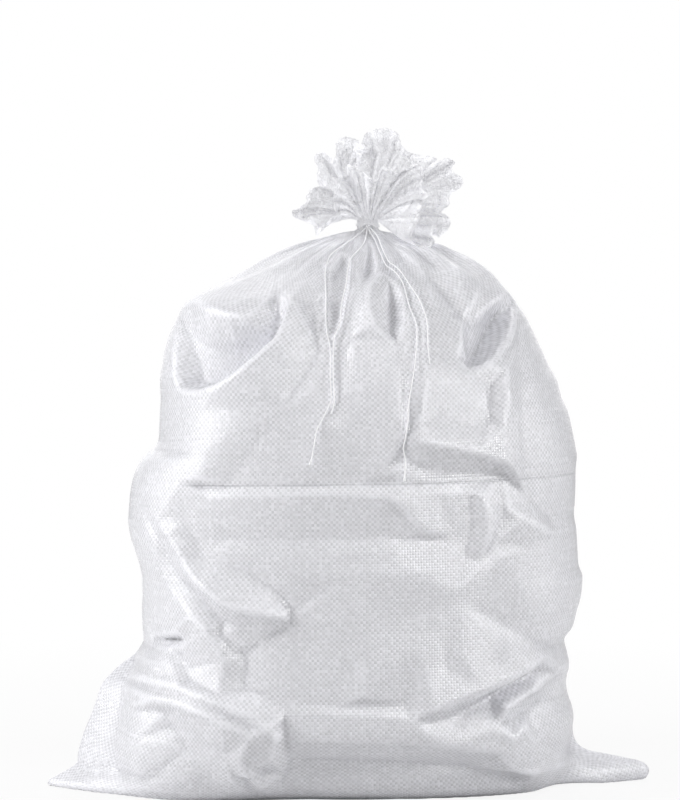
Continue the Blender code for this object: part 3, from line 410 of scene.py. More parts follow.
def colour_setting(title, about, colour):
    """The setting for one colour."""
    return bpy.props.FloatVectorProperty(name=title, description="Colour of the " + about,
                                         default=colour, size=3, min=0.0, max=1.0,
                                         subtype="COLOR")


class StageSettings(bpy.types.PropertyGroup):
    """Camera, floor and lights."""
    focal_length: bpy.props.FloatProperty(
        name="Focal length", description="Camera lens", default=138.5, min=10.0,
        subtype="DISTANCE_CAMERA")
    floor_colour: colour_setting("Floor", "floor and the backdrop", (0.75, 0.75, 0.75))
    sky_strength: bpy.props.FloatProperty(
        name="Sky", description="Brightness of the light from all round", default=0.24,
        min=0.0)
    front_power: lamp_power("Front light", "small light at the front right", 36.0)
    back_power: lamp_power("Back light", "large light behind", 20.0)
    rim_power: lamp_power("Rim light", "light over and behind the frill", 9.0)
    left_power: lamp_power("Left light", "large light at the left", 43.0)
    right_power: lamp_power("Right light", "large light at the right", 23.0)
    top_power: lamp_power("Top light", "large light overhead", 15.0)


class ClothSettings(bpy.types.PropertyGroup):
    """The woven cloth."""
    colour: colour_setting("Cloth", "woven tapes", (0.78, 0.78, 0.815))
    roughness: bpy.props.FloatProperty(
        name="Roughness", description="How matt the tapes are", default=0.27, min=0.0,
        max=1.0, subtype="FACTOR")
    tape_width: bpy.props.FloatProperty(
        name="Tape width", description="Width of one woven tape", default=TAPE_WIDTH,
        min=0.001, unit="LENGTH")
    slack: bpy.props.FloatProperty(
        name="Slack", description="Spare cloth that buckles as it settles", default=1.0,
        min=0.0, max=2.0, subtype="FACTOR")
    crispness: bpy.props.FloatProperty(
        name="Crispness", description="How much the creases are sharpened", default=0.8,
        min=0.0, max=2.0, subtype="FACTOR")
    settling: bpy.props.IntProperty(
        name="Settling", description="Rounds in which the cloth settles", default=260,
        min=0, max=1000)


class TwineSettings(bpy.types.PropertyGroup):
    """The twine."""
    diameter: bpy.props.FloatProperty(
        name="Twine diameter", description="Thickness of the twine",
        default=TWINE_DIAMETER, min=0.0005, unit="LENGTH")
    colour: colour_setting("Twine", "twine", (0.90, 0.90, 0.92))


class Socket:
    """One output of a material's node tree. Arithmetic on it adds Math nodes."""

    def __init__(self, tree, output):
        self.tree = tree
        self.output = output

    def node(self, kind, settings=(), inputs=(), output=0):
        """Add a node: its type, its settings, then the values or links of its sockets."""
        made = self.tree.nodes.new(kind)
        for name, value in dict(settings).items():
            setattr(made, name, value)
        for name, value in dict(inputs).items():
            if isinstance(value, Socket):
                self.tree.links.new(value.output, made.inputs[name])
            else:
                made.inputs[name].default_value = value
        return Socket(self.tree, made.outputs[output])

    def math(self, operation, *values):
        """A Math node on this value and the given ones."""
        return self.node("ShaderNodeMath", {"operation": operation},
                         dict(enumerate((self, *values))))

    def __add__(self, other):
        return self.math("ADD", other)

    __radd__ = __add__

    def __sub__(self, other):
        return self.math("SUBTRACT", other)

    def __rsub__(self, other):
        return self.node("ShaderNodeMath", {"operation": "SUBTRACT"}, {0: other, 1: self})

    def __mul__(self, other):
        return self.math("MULTIPLY", other)

    __rmul__ = __mul__

    def band(self, low, high):
        """0 below low, 1 above high, and smooth between them."""
        return self.node("ShaderNodeMapRange", {"interpolation_type": "SMOOTHSTEP"},
                         {"Value": self, "From Min": low, "From Max": high})

    def near(self, half, edge):
        """1 within edge of 0, 0 beyond half of it, and smooth between them."""
        return self.math("ABSOLUTE").band(half, edge)

    def noise(self, scale, detail, roughness=0.5, kind="3D"):
        """Smooth noise at this place, or along this length if its kind is 1D."""
        return self.node("ShaderNodeTexNoise", {"noise_dimensions": kind},
                         {"W" if kind == "1D" else "Vector": self, "Scale": scale,
                          "Detail": detail, "Roughness": roughness})

    def chance(self, kind="1D"):
        """A random share for this number, or for this pair of numbers if its kind is 2D."""
        return self.node("ShaderNodeTexWhiteNoise", {"noise_dimensions": kind},
                         {"W" if kind == "1D" else "Vector": self}, output="Value")

    def attribute(self, name):
        """An attribute of the mesh."""
        return self.node("ShaderNodeAttribute", {"attribute_name": name}, output="Fac")

    def parts(self):
        """The X, Y and Z of this value."""
        split = self.node("ShaderNodeSeparateXYZ", inputs={"Vector": self}).output.node
        return [Socket(self.tree, split.outputs[axis]) for axis in "XYZ"]

    def feed(self, node, name):
        """Link this value to an input of another node."""
        self.tree.links.new(self.output, node.inputs[name])

    def mix(self, start, end):
        """From one colour to another as this value goes from 0 to 1."""
        return self.node("ShaderNodeMix", {"data_type": "RGBA"},
                         {"Factor": self, "A": start, "B": end}, output="Result")


def settle(values, stations, at):
    """Smooth curve through values at stations, with no overshoot, read at the given places.

    It is a cubic in each step. Its slope at a station is the harmonic mean of the slopes on
    both sides, and 0 where they have opposite signs."""
    at = np.clip(at, stations[0], stations[-1])
    step = np.diff(stations)
    slope = np.diff(values) / step
    tangent = np.zeros(len(values))
    same_way = slope[:-1] * slope[1:] > 0.0
    total = slope[:-1] + slope[1:]
    total[~same_way] = 1.0
    tangent[1:-1] = np.where(same_way, 2.0 * slope[:-1] * slope[1:] / total, 0.0)
    tangent[[0, -1]] = slope[[0, -1]]
    left = np.clip(np.searchsorted(stations, at, side="right") - 1, 0, len(step) - 1)
    run = step[left]
    t = (at - stations[left]) / run
    return (values[left] * (1 + 2 * t) * (1 - t) ** 2
            + run * tangent[left] * t * (1 - t) ** 2
            + values[left + 1] * t * t * (3 - 2 * t)
            + run * tangent[left + 1] * t * t * (t - 1))


def column(table, k, at):
    """One column of a table of stations, as a smooth curve."""
    return settle(table[:, k], table[:, 0], at)


def around_cloth():
    """Each column's share of the way round the cloth: left, front, right, back."""
    front = np.linspace(0.0, 0.5, FRONT_COLUMNS, endpoint=False)
    back = np.linspace(0.5, 1.0, BACK_COLUMNS, endpoint=False)
    return np.concatenate([front, back])


def flow(points, shares, closed=False):
    """Smooth curve through the given points, read at the given shares of its length.

    It is a cubic from each point to the next. Its slope at a point is half the way from the
    point before to the point after."""
    if closed:
        padded = np.vstack([points[-1:], points, points[:2]])
    else:
        padded = np.vstack([2 * points[0] - points[1], points, 2 * points[-1] - points[-2]])
    t = np.linspace(0.0, 1.0, CURVE_STEPS, endpoint=False)[None, :, None]
    before, start, end, after = (padded[k:len(padded) - 3 + k, None] for k in range(4))
    fine = 0.5 * (2 * start + (end - before) * t
                  + (2 * before - 5 * start + 4 * end - after) * t ** 2
                  + (3 * start - before - 3 * end + after) * t ** 3)
    fine = np.vstack([fine.reshape(-1, points.shape[1]), padded[-2][None]])
    return walk(fine, shares)


def walk(line, shares):
    """The line through the given points, read at the given shares of its length."""
    step = np.linalg.norm(np.diff(line[:, :3], axis=0), axis=1)
    length = np.concatenate([[0.0], np.cumsum(step)])
    places = length[-1] * shares
    return np.column_stack([np.interp(places, length, line[:, axis])
                            for axis in range(line.shape[1])])


def smoothstep(low, high, value):
    """0 below low, 1 above high, and a smooth rise, 3t^2 - 2t^3, between them."""
    t = np.clip((value - low) / (high - low), 0.0, 1.0)
    return t * t * (3.0 - 2.0 * t)


def unit(vectors):
    """The vectors, each divided by its length."""
    return vectors / np.maximum(np.linalg.norm(vectors, axis=-1, keepdims=True), 1e-12)


def neck_distance(points):
    """How far each point is from the upright line through the neck's middle."""
    return np.hypot(points[..., 0] - NECK_X, points[..., 1])


def grid_normals(grid):
    """Outward normals of a grid of points, rows going up and columns going round.

    Each is the cross product of the way round and the way up."""
    across = np.roll(grid, -1, axis=1) - np.roll(grid, 1, axis=1)
    upward = np.gradient(grid, axis=0)
    return unit(np.cross(across, upward))


def blur(field, width):
    """Soften a 2-D field with a bell curve of the given width, in cells."""
    reach = int(math.ceil(3 * width))
    bell = np.exp(-0.5 * (np.arange(-reach, reach + 1) / width) ** 2)
    bell /= bell.sum()
    for axis in (0, 1):
        field = np.apply_along_axis(
            lambda line: np.convolve(np.pad(line, reach, mode="edge"), bell, "valid"),
            axis, field)
    return field


def fold_relief(folds):
    """How far the cloth stands out, over a window of x and z.

    The fold lines are joined by flat facets: triangles between their points, with each
    fold line kept as an edge, and straight slopes inside each triangle."""
    left, right, bottom, top = FOLD_WINDOW
    places, depths, edges = [], [], []
    for line in folds.values():
        edges += [(len(places) + k, len(places) + k + 1) for k in range(len(line) - 1)]
        places += [Vector((x / 1000, z / 1000)) for x, z, _ in line]
        depths += [depth / 1000 for _, _, depth in line]
    rim = [(x, z) for x in np.linspace(left, right, RIM_POINTS[0]) for z in (bottom, top)]
    rim += [(x, z) for z in np.linspace(bottom, top, RIM_POINTS[1])[1:-1]
            for x in (left, right)]
    places += [Vector(place) for place in rim]
    depths += [0.0] * len(rim)
    corners, _, triangles, sources, _, _ = delaunay_2d_cdt(places, edges, [], 0, 1e-6)
    depth = np.array([np.mean([depths[s] for s in source]) if source else 0.0
                      for source in sources])
    spot = np.array(corners)
    relief = np.zeros((int((top - bottom) / FOLD_GRID), int((right - left) / FOLD_GRID)))
    for triangle in triangles:
        a, b, c = spot[list(triangle)]
        low = np.floor((np.minimum(np.minimum(a, b), c) - (left, bottom)) / FOLD_GRID)
        high = np.ceil((np.maximum(np.maximum(a, b), c) - (left, bottom)) / FOLD_GRID)
        i, j = np.meshgrid(np.arange(int(low[0]), min(int(high[0]) + 1, relief.shape[1])),
                           np.arange(int(low[1]), min(int(high[1]) + 1, relief.shape[0])))
        x = left + (i + 0.5) * FOLD_GRID - a[0]
        z = bottom + (j + 0.5) * FOLD_GRID - a[1]
        area = (b[0] - a[0]) * (c[1] - a[1]) - (c[0] - a[0]) * (b[1] - a[1])
        s = (x * (c[1] - a[1]) - z * (c[0] - a[0])) / area
        t = (z * (b[0] - a[0]) - x * (b[1] - a[1])) / area
        inside = (s >= -1e-6) & (t >= -1e-6) & (s + t <= 1 + 1e-6)
        value = depth[list(triangle)]
        level = value[0] + s * (value[1] - value[0]) + t * (value[2] - value[0])
        relief[j[inside], i[inside]] = level[inside]
    return blur(relief, FOLD_EDGE / FOLD_GRID)


def read_relief(relief, x, z):
    """The relief between its cells, from the four nearest ones."""
    left, _, bottom, _ = FOLD_WINDOW
    i = np.clip((x - left) / FOLD_GRID - 0.5, 0, relief.shape[1] - 1.001)
    j = np.clip((z - bottom) / FOLD_GRID - 0.5, 0, relief.shape[0] - 1.001)
    i0, j0 = i.astype(int), j.astype(int)
    s, t = i - i0, j - j0
    return ((1 - t) * ((1 - s) * relief[j0, i0] + s * relief[j0, i0 + 1])
            + t * ((1 - s) * relief[j0 + 1, i0] + s * relief[j0 + 1, i0 + 1]))


def on_view_plane(points):
    """Where the camera sees each point on the plane y = 0: x and z."""
    eye = np.array(CAMERA_AIM) + CAMERA_DISTANCE * CAMERA_AWAY
    share = eye[1] / (eye[1] - points[..., 1])
    seen = eye + (points - eye) * share[..., None]
    return seen[..., 0], seen[..., 2]


def body_outline(heights):
    """Horizontal outlines of the body at the given heights, half the columns each way.

    The half depth is that of the filled body, |x/a|^n + |y/b|^n = 1 with n the
    squareness, joined to that of the ears, which thin out to their tips. Near its left
    and right the outline is then moved out or in to the reach of the folds there."""
    h = heights[:, None]
    left, right = column(FLANKS, 1, h), column(FLANKS, 2, h)
    far_left, far_right = left - column(EARS, 1, h), right + column(EARS, 2, h)
    turn = np.linspace(0.0, math.pi, OUTLINE_POINTS)[None, :]
    x = (far_left + far_right - (far_right - far_left) * np.cos(turn)) / 2
    across = np.abs((2 * x - left - right) / (right - left))
    squareness = column(DEPTHS, 3, h)
    bulge = np.clip(1.0 - across ** squareness, 0.0, 1.0) ** (1.0 / squareness)
    middle = np.where(far_left < 0.0, 0.0, NECK_X)
    at_left = x < middle
    far = np.where(at_left, far_left, far_right)
    out = (x - middle) / (far - middle)
    ear = np.where(at_left, column(EARS, 3, h), column(EARS, 4, h))
    thick = ear * np.clip(1.0 - out ** EAR_TAPER, 0.0, 1.0)
    thick = thick * np.sin(np.clip(1.5 * out, 0.0, 1.0) * math.pi / 2)
    thick = thick + EAR_EDGE * np.sqrt(np.clip(1.0 - out ** 2, 0.0, 1.0))
    lean = ear * np.where(at_left, LEFT_EAR_LEAN, RIGHT_EAR_LEAN) / EARS[0, 3] * out ** 4
    reach = np.where(at_left, column(REACH, 1, h), column(REACH, 2, h))
    x = x + (reach - far) * smoothstep(0.55, 1.0, out)
    halves = []
    for side, sign, count in ((1, -1, FRONT_COLUMNS), (2, 1, BACK_COLUMNS)):
        half_depth = ((np.abs(column(DEPTHS, side, h)) * bulge) ** 4 + thick ** 4) ** 0.25
        line = np.stack([x, lean + sign * half_depth, h + 0 * x], axis=2)
        half = np.array([walk(row, np.linspace(0.0, 1.0, count + 1)) for row in line])
        halves.append(half[:, :-1] if sign < 0 else half[:, :0:-1])
    return np.concatenate(halves, axis=1)


def ear_share(x, z):
    """1 on the right ear, 0 on the body, and smooth between them."""
    return smoothstep(*EAR_ROOT, x) * smoothstep(*EAR_TOP, z)


def ease_ear_root(form):
    """Draw the points where the right ear joins the body to the middle of their neighbours."""
    eased = form.copy()
    share = ear_share(form[..., 0], form[..., 2]) * smoothstep(*EAR_BLADE, form[..., 0])
    for _ in range(ROOT_PASSES):
        padded = np.concatenate([eased[:1], eased, eased[-1:]])
        middle = (padded[:-2] + padded[2:] + np.roll(eased, 1, axis=1)
                  + np.roll(eased, -1, axis=1)) / 4
        eased += share[..., None] * (middle - eased)
    return eased


def seam_row():
    """The bottom seam on the floor, where the back's edge lies on the front's."""
    share = 1.0 - np.abs(1.0 - 2.0 * around_cloth())
    _, left, right = REACH[1]
    return np.column_stack([left + (right - left) * share, column(SEAM_LINE, 1, share),
                            np.zeros(COLUMNS)])


def body_form():
    """The smooth body: the seam, the underside, the sides and up to the neck.

    Every column of points is spaced evenly along its own length, as the cloth is."""
    heights = np.concatenate([np.linspace(0.0, DENSE_FROM, 181)[:-1],
                              np.linspace(DENSE_FROM, REACH[-1, 0], 120)])
    outline = np.concatenate([seam_row()[None], body_outline(heights)])
    shares = np.linspace(0.0, 1.0, BODY_ROWS)
    columns = [walk(outline[:, k], shares) for k in range(COLUMNS)]
    return ease_ear_root(np.stack(columns, axis=1))


def fold_body(form):
    """Press the fold lines of the front and of the back into the smooth body."""
    normal = grid_normals(form)
    x, z = on_view_plane(form)
    facing = -normal[..., 1]
    front = read_relief(fold_relief(FRONT_FOLDS), x, z)
    back = read_relief(fold_relief(BACK_FOLDS), form[..., 0], form[..., 2])
    depth = np.where(facing > 0.0, front, back)
    depth *= np.clip(np.abs(facing), 0.0, 1.0) ** 0.5
    depth *= smoothstep(*FOLD_START, form[..., 2])
    depth *= 1.0 - ear_share(form[..., 0], form[..., 2])
    depth *= smoothstep(*FOLD_END, neck_distance(form))
    return form + normal * depth[..., None]


def waves(share, seed, count, sharp):
    """An irregular row of creases round the cloth, from -1 to 1.

    A cosine whose pace wanders, pulled to sharp ridges."""
    chance = np.random.default_rng(seed)
    wander = sum(chance.normal() * 0.35 / k
                 * np.sin(2 * math.pi * (k * share + chance.random()))
                 for k in range(1, 7))
    wave = np.cos(2 * math.pi * (count * share) + 2 * math.pi * wander)
    strength = 0.75 + 0.25 * np.sin(2 * math.pi * (5 * share + chance.random()))
    return strength * np.sign(wave) * np.abs(wave) ** sharp


def pleat_body(form):
    """Gathers that run down from the neck and fade out over the shoulders."""
    share = around_cloth()[None, :]
    reach = neck_distance(form)
    depth = 0.0
    for seed, count, sharp, height, start, whole, end, fading in PLEATS:
        row = waves(share, seed, count, sharp) * height
        depth = depth + row * smoothstep(start, whole, reach) * smoothstep(end, fading, reach)
    above = smoothstep(*PLEAT_START, form[..., 2])
    return form + grid_normals(form) * (depth * above)[..., None]


def neck_form():
    """The round neck under the twine, as level circles."""
    turn = math.pi + 2 * math.pi * around_cloth()
    ring = np.column_stack([NECK_X + NECK_RADIUS * np.cos(turn),
                            NECK_RADIUS * np.sin(turn), np.zeros(COLUMNS)])
    climb = np.linspace(-NECK_LENGTH / 2, NECK_LENGTH / 2, NECK_ROWS + 1)[1:]
    return np.array([ring + (0.0, 0.0, NECK_Z + step) for step in climb])


def frill_form(neck):
    """The frill: each column bows from the neck up and over to the mouth's edge.

    A column is the curve (1-t)^2 neck + 2t(1-t) knee + t^2 edge, with ruffles that grow
    with the sine of t and creases that grow with t^0.7."""
    share = around_cloth()
    edge = flow(np.array(MOUTH_EDGE) / 1000, share, closed=True)
    edge, arch = edge[:, :3], edge[:, 3]
    away = edge - (NECK_X, 0.0, 0.0)
    away[:, 2] = 0.0
    away = unit(away)
    ruffle = waves(share, 12, RUFFLES, 0.8)[:, None] * RUFFLE_HEIGHT
    creases = crumple((FRILL_ROWS, COLUMNS), 40, FRILL_CREASES)
    knee = (neck + edge) / 2
    knee[:, 2] += arch
    lean = unit(away * 0.7 - (0.0, 0.7, 0.0))
    rows = []
    for step in range(1, FRILL_ROWS + 1):
        t = step / FRILL_ROWS
        rows.append((1 - t) ** 2 * neck + 2 * t * (1 - t) * knee + t * t * edge
                    + math.sin(t * math.pi / 2) * ruffle * away
                    + t ** 0.7 * creases[step - 1][:, None] * lean)
    return np.array(rows)


def link_pull(points, other, rest, squeeze):
    """The move that brings each point and its neighbour to their cloth length.

    A stretched link pulls fully, and a squeezed one pushes back by the squeeze share."""
    gap = other - points
    length = np.maximum(np.linalg.norm(gap, axis=-1, keepdims=True), 1e-9)
    excess = 1.0 - rest[..., None] / length
    return gap * np.where(excess > 0.0, excess, excess * squeeze)


def settle_cloth(start, goal, slack, hold, pinned, rounds):
    """Let the cloth settle: every link seeks its length, and every point its goal.

    The links run across, up and on both diagonals, and a longer one in each direction
    resists bending. slack is how much longer the cloth is than the goal's own spacing."""
    rests = [np.linalg.norm(np.roll(goal, -columns, axis=1)[rows:] - goal[:len(goal) - rows],
                            axis=-1) * slack[:len(goal) - rows]
             for rows, columns, _, _ in LINKS]
    points = before = start
    for _ in range(rounds):
        move = np.zeros_like(points)
        for (rows, columns, squeeze, share), rest in zip(LINKS, rests):
            near = points[:len(points) - rows]
            far = np.roll(points, -columns, axis=1)[rows:]
            pull = link_pull(near, far, rest, squeeze) * (0.5 * share)
            move[:len(points) - rows] += pull
            move[rows:] -= np.roll(pull, columns, axis=1)
        move += (goal - points) * hold[..., None]
        carried = (points - before) * CARRY
        before = points
        points = points + move + carried
        points[pinned] = goal[pinned]
        points[..., 2] = np.maximum(points[..., 2], LIFT)
    return points


def weave_lie(form):
    """Where each point of the cloth lies in the weave, in metres across and along.

    Both are lengths over the smooth body from where the front's upright and level creases
    meet. Towards the neck the way across turns into an even share of the whole width,
    because the cloth is gathered there. The frill goes on from the neck by even shares."""
    step = np.linalg.norm(np.roll(form, -1, axis=1) - form, axis=-1)
    across = np.concatenate([np.zeros((len(form), 1)), np.cumsum(step, axis=1)], axis=1)
    place = np.arange(COLUMNS + 1)
    middle = np.array([np.interp(MIDDLE_CREASE, row[:FRONT_COLUMNS, 0], place[:FRONT_COLUMNS])
                       for row in form])
    start = np.array([np.interp(at, place, row) for at, row in zip(middle, across)])
    share = np.append(around_cloth(), 1.0)
    even = 2 * FLAT_WIDTH * (share[None] - middle[:, None] / (2 * FRONT_COLUMNS))
    gathered = smoothstep(*GATHERED, form[:, :, 2].mean(axis=1))[:, None]
    across = (1.0 - gathered) * (across - start[:, None]) + gathered * even

    rise = np.linalg.norm(np.diff(form, axis=0), axis=-1)
    along = np.concatenate([np.zeros((1, COLUMNS)), np.cumsum(rise, axis=0)])
    height = form[..., 2] - LEVEL_CREASES[-1][0] - CREASE_SLOPE * form[..., 0]
    start = [np.interp(0.0, height[:, k], along[:, k]) for k in range(COLUMNS)]
    along = along - np.array(start)
    along = np.concatenate([along, along[:, :1]], axis=1)
    above = np.concatenate([np.linspace(0.0, NECK_LENGTH, NECK_ROWS + 1)[1:],
                            NECK_LENGTH + np.linspace(0.0, FRILL_LENGTH, FRILL_ROWS + 1)[1:]])
    across = np.concatenate([across, np.tile(across[-1], (len(above), 1))])
    return across, np.concatenate([along, along[-1] + above[:, None]])


def speckle(shape, seed, widths):
    """A seeded bumpy field: random numbers, softened to several widths."""
    chance = np.random.default_rng(seed)
    field = np.zeros(shape)
    for width, strength in widths:
        layer = blur(np.tile(chance.normal(size=shape), (1, 3)), width)
        layer = layer[:, shape[1]:2 * shape[1]]
        field += strength * layer / layer.std()
    return field


def crumple(shape, seed, widths):
    """A seeded field of sharp creases: softened random numbers, folded where they are 0."""
    field = np.zeros(shape)
    for k, (width, strength) in enumerate(widths):
        layer = speckle(shape, seed + k, ((width, 1.0),))
        field += strength * (1.0 - np.abs(layer))
    return field


def neighbours(cloth, axis):
    """Each point's neighbours before and after it, round the cloth or along it."""
    if axis == 1:
        return np.roll(cloth, 1, axis=1), np.roll(cloth, -1, axis=1)
    padded = np.concatenate([cloth[:1], cloth, cloth[-1:]])
    return padded[:-2], padded[2:]


def sharpen(cloth, share):
    """Raise crests and deepen valleys by a share of how far they leave their neighbours."""
    around = cloth
    for _ in range(2):
        middle = sum(sum(neighbours(around, axis)) for axis in (0, 1)) / 4
        around = 0.5 * around + 0.5 * middle
    normal = grid_normals(cloth)
    stand = ((cloth - around) * normal).sum(axis=-1, keepdims=True)
    stand = np.clip(stand * share[..., None], -SHARPEN_LIMIT, SHARPEN_LIMIT)
    return cloth + normal * stand


def crease_marks(cloth):
    """How sharply the cloth bends: towards 1 on a crest and towards -1 in a valley."""
    normal = grid_normals(cloth)
    bend = np.zeros(cloth.shape[:2])
    for axis in (0, 1):
        before, after = neighbours(cloth, axis)
        run = np.maximum(np.linalg.norm(after - before, axis=-1) / 2, LEAST_RUN)
        sag = ((cloth - (before + after) / 2) * normal).sum(axis=-1)
        bend += 2 * sag / run ** 2
    strength = np.clip((np.abs(bend) - FLAT_BEND) / (SHARP_BEND - FLAT_BEND), 0.0, 1.0)
    return np.sign(bend) * strength


def meet_twine(cloth, normal, routes, reach, lift):
    """Press the cloth in behind the twine, or draw it out to it by the lift at most."""
    moved = cloth.copy()
    for route in routes:
        low, high = route.min(axis=0) - 2 * reach, route.max(axis=0) + 2 * reach
        near = ((cloth > low) & (cloth < high)).all(axis=-1) & (normal[..., 1] < 0.0)
        away = cloth[near][:, None] - route[None]
        closest = np.argmin(np.linalg.norm(away, axis=-1), axis=1)
        away = away[np.arange(len(away)), closest]
        out = (away * normal[near]).sum(axis=-1)
        beside = np.sqrt(np.maximum((away ** 2).sum(axis=-1) - out ** 2, 0.0))
        shift = np.clip(-TWINE_BED - out, -PRESS, lift)
        pull = shift * np.exp(-(beside / reach) ** 2)
        moved[near] += normal[near] * pull[:, None]
    return moved


def make_mesh(name, points, faces, uv=None):
    """A smooth-shaded mesh object from arrays of points and faces."""
    mesh = bpy.data.meshes.new(name)
    mesh.from_pydata(points, [], faces)
    if uv is not None:
        layer = mesh.uv_layers.new(name="weave")
        layer.data.foreach_set("uv", uv.ravel())
    mesh.shade_smooth()
    piece = bpy.data.objects.new(name, mesh)
    bpy.context.scene.collection.objects.link(piece)
    return piece


def grid_faces(rows, columns):
    """Quads of a grid that closes on itself across, as indices of its points."""
    row, col = np.meshgrid(np.arange(rows - 1), np.arange(columns), indexing="ij")
    after = (col + 1) % columns
    return np.stack([row * columns + col, row * columns + after,
                     (row + 1) * columns + after, (row + 1) * columns + col],
                    axis=-1).reshape(-1, 4)


def fan(first, columns, tip):
    """Triangles from a closed ring of points to one tip."""
    return [[first + k, first + (k + 1) % columns, tip] for k in range(columns)]


def start_material(name, roughness):
    """A new material, its shader, and a socket to add its first nodes from."""
    material = bpy.data.materials.new(name)
    material.use_nodes = True
    shader = material.node_tree.nodes["Principled BSDF"]
    shader.inputs["Roughness"].default_value = roughness
    return material, shader, Socket(material.node_tree, None)


def show(share, shader, other):
    """Let the surface show the shader, and the other one by the given share."""
    base = Socket(share.tree, shader.outputs["BSDF"])
    both = share.node("ShaderNodeMixShader", inputs={0: share, 1: base, 2: other})
    both.feed(share.tree.nodes["Material Output"], "Surface")


def pale_floor(settings):
    """Pale floor that takes a soft shadow near the sack and is plain white further off."""
    material, shader, make = start_material("floor", 0.8)
    shader.inputs["Base Color"].default_value = (*settings.floor_colour, 1.0)
    place = make.node("ShaderNodeTexCoord", output="Object")
    distance = make.node("ShaderNodeVectorMath", {"operation": "LENGTH"}, {0: place},
                         output="Value")
    seen = make.node("ShaderNodeLightPath")
    share = seen * (distance.band(*SHADOW_REACH) * 0.12 + 0.88)
    show(share, shader, make.node("ShaderNodeEmission", inputs={"Strength": 1.0}))
    return material


def packing_creases(place):
    """Creases of the folded sack, as they lie on the filled one: painted shade, painted light and
    depth.

    They are level lines at a quarter, three eighths and half of its length, and one
    upright line down its middle."""
    x, _, z = place.parts()
    wander = place.noise(9.0, 2.0) * 0.004 - 0.002
    level = z - x * CREASE_SLOPE + wander
    broken = place.noise(22.0, 2.0).band(0.40, 0.62)
    # Each is a thin line of painted shade with a wider band of painted light below it
    dark, light = 0.0, 0.0
    for height, strength in LEVEL_CREASES:
        dark = (level - height).near(0.0013, 0.0003) * strength + dark
        light = (level - height + 0.0055).near(0.0055, 0.0030) * strength + light
    # The upright crease is painted light only
    upright = (x - MIDDLE_CREASE + wander * 2.0).near(0.0016, 0.0003)
    upright = upright * z.band(0.33, 0.30) * z.band(0.03, 0.06) * broken
    light = (light + upright) * (broken * 0.5 + 0.5)
    dark = dark * x.band(-0.170, -0.145)
    return dark * (broken * 0.4 + 0.6), light, dark


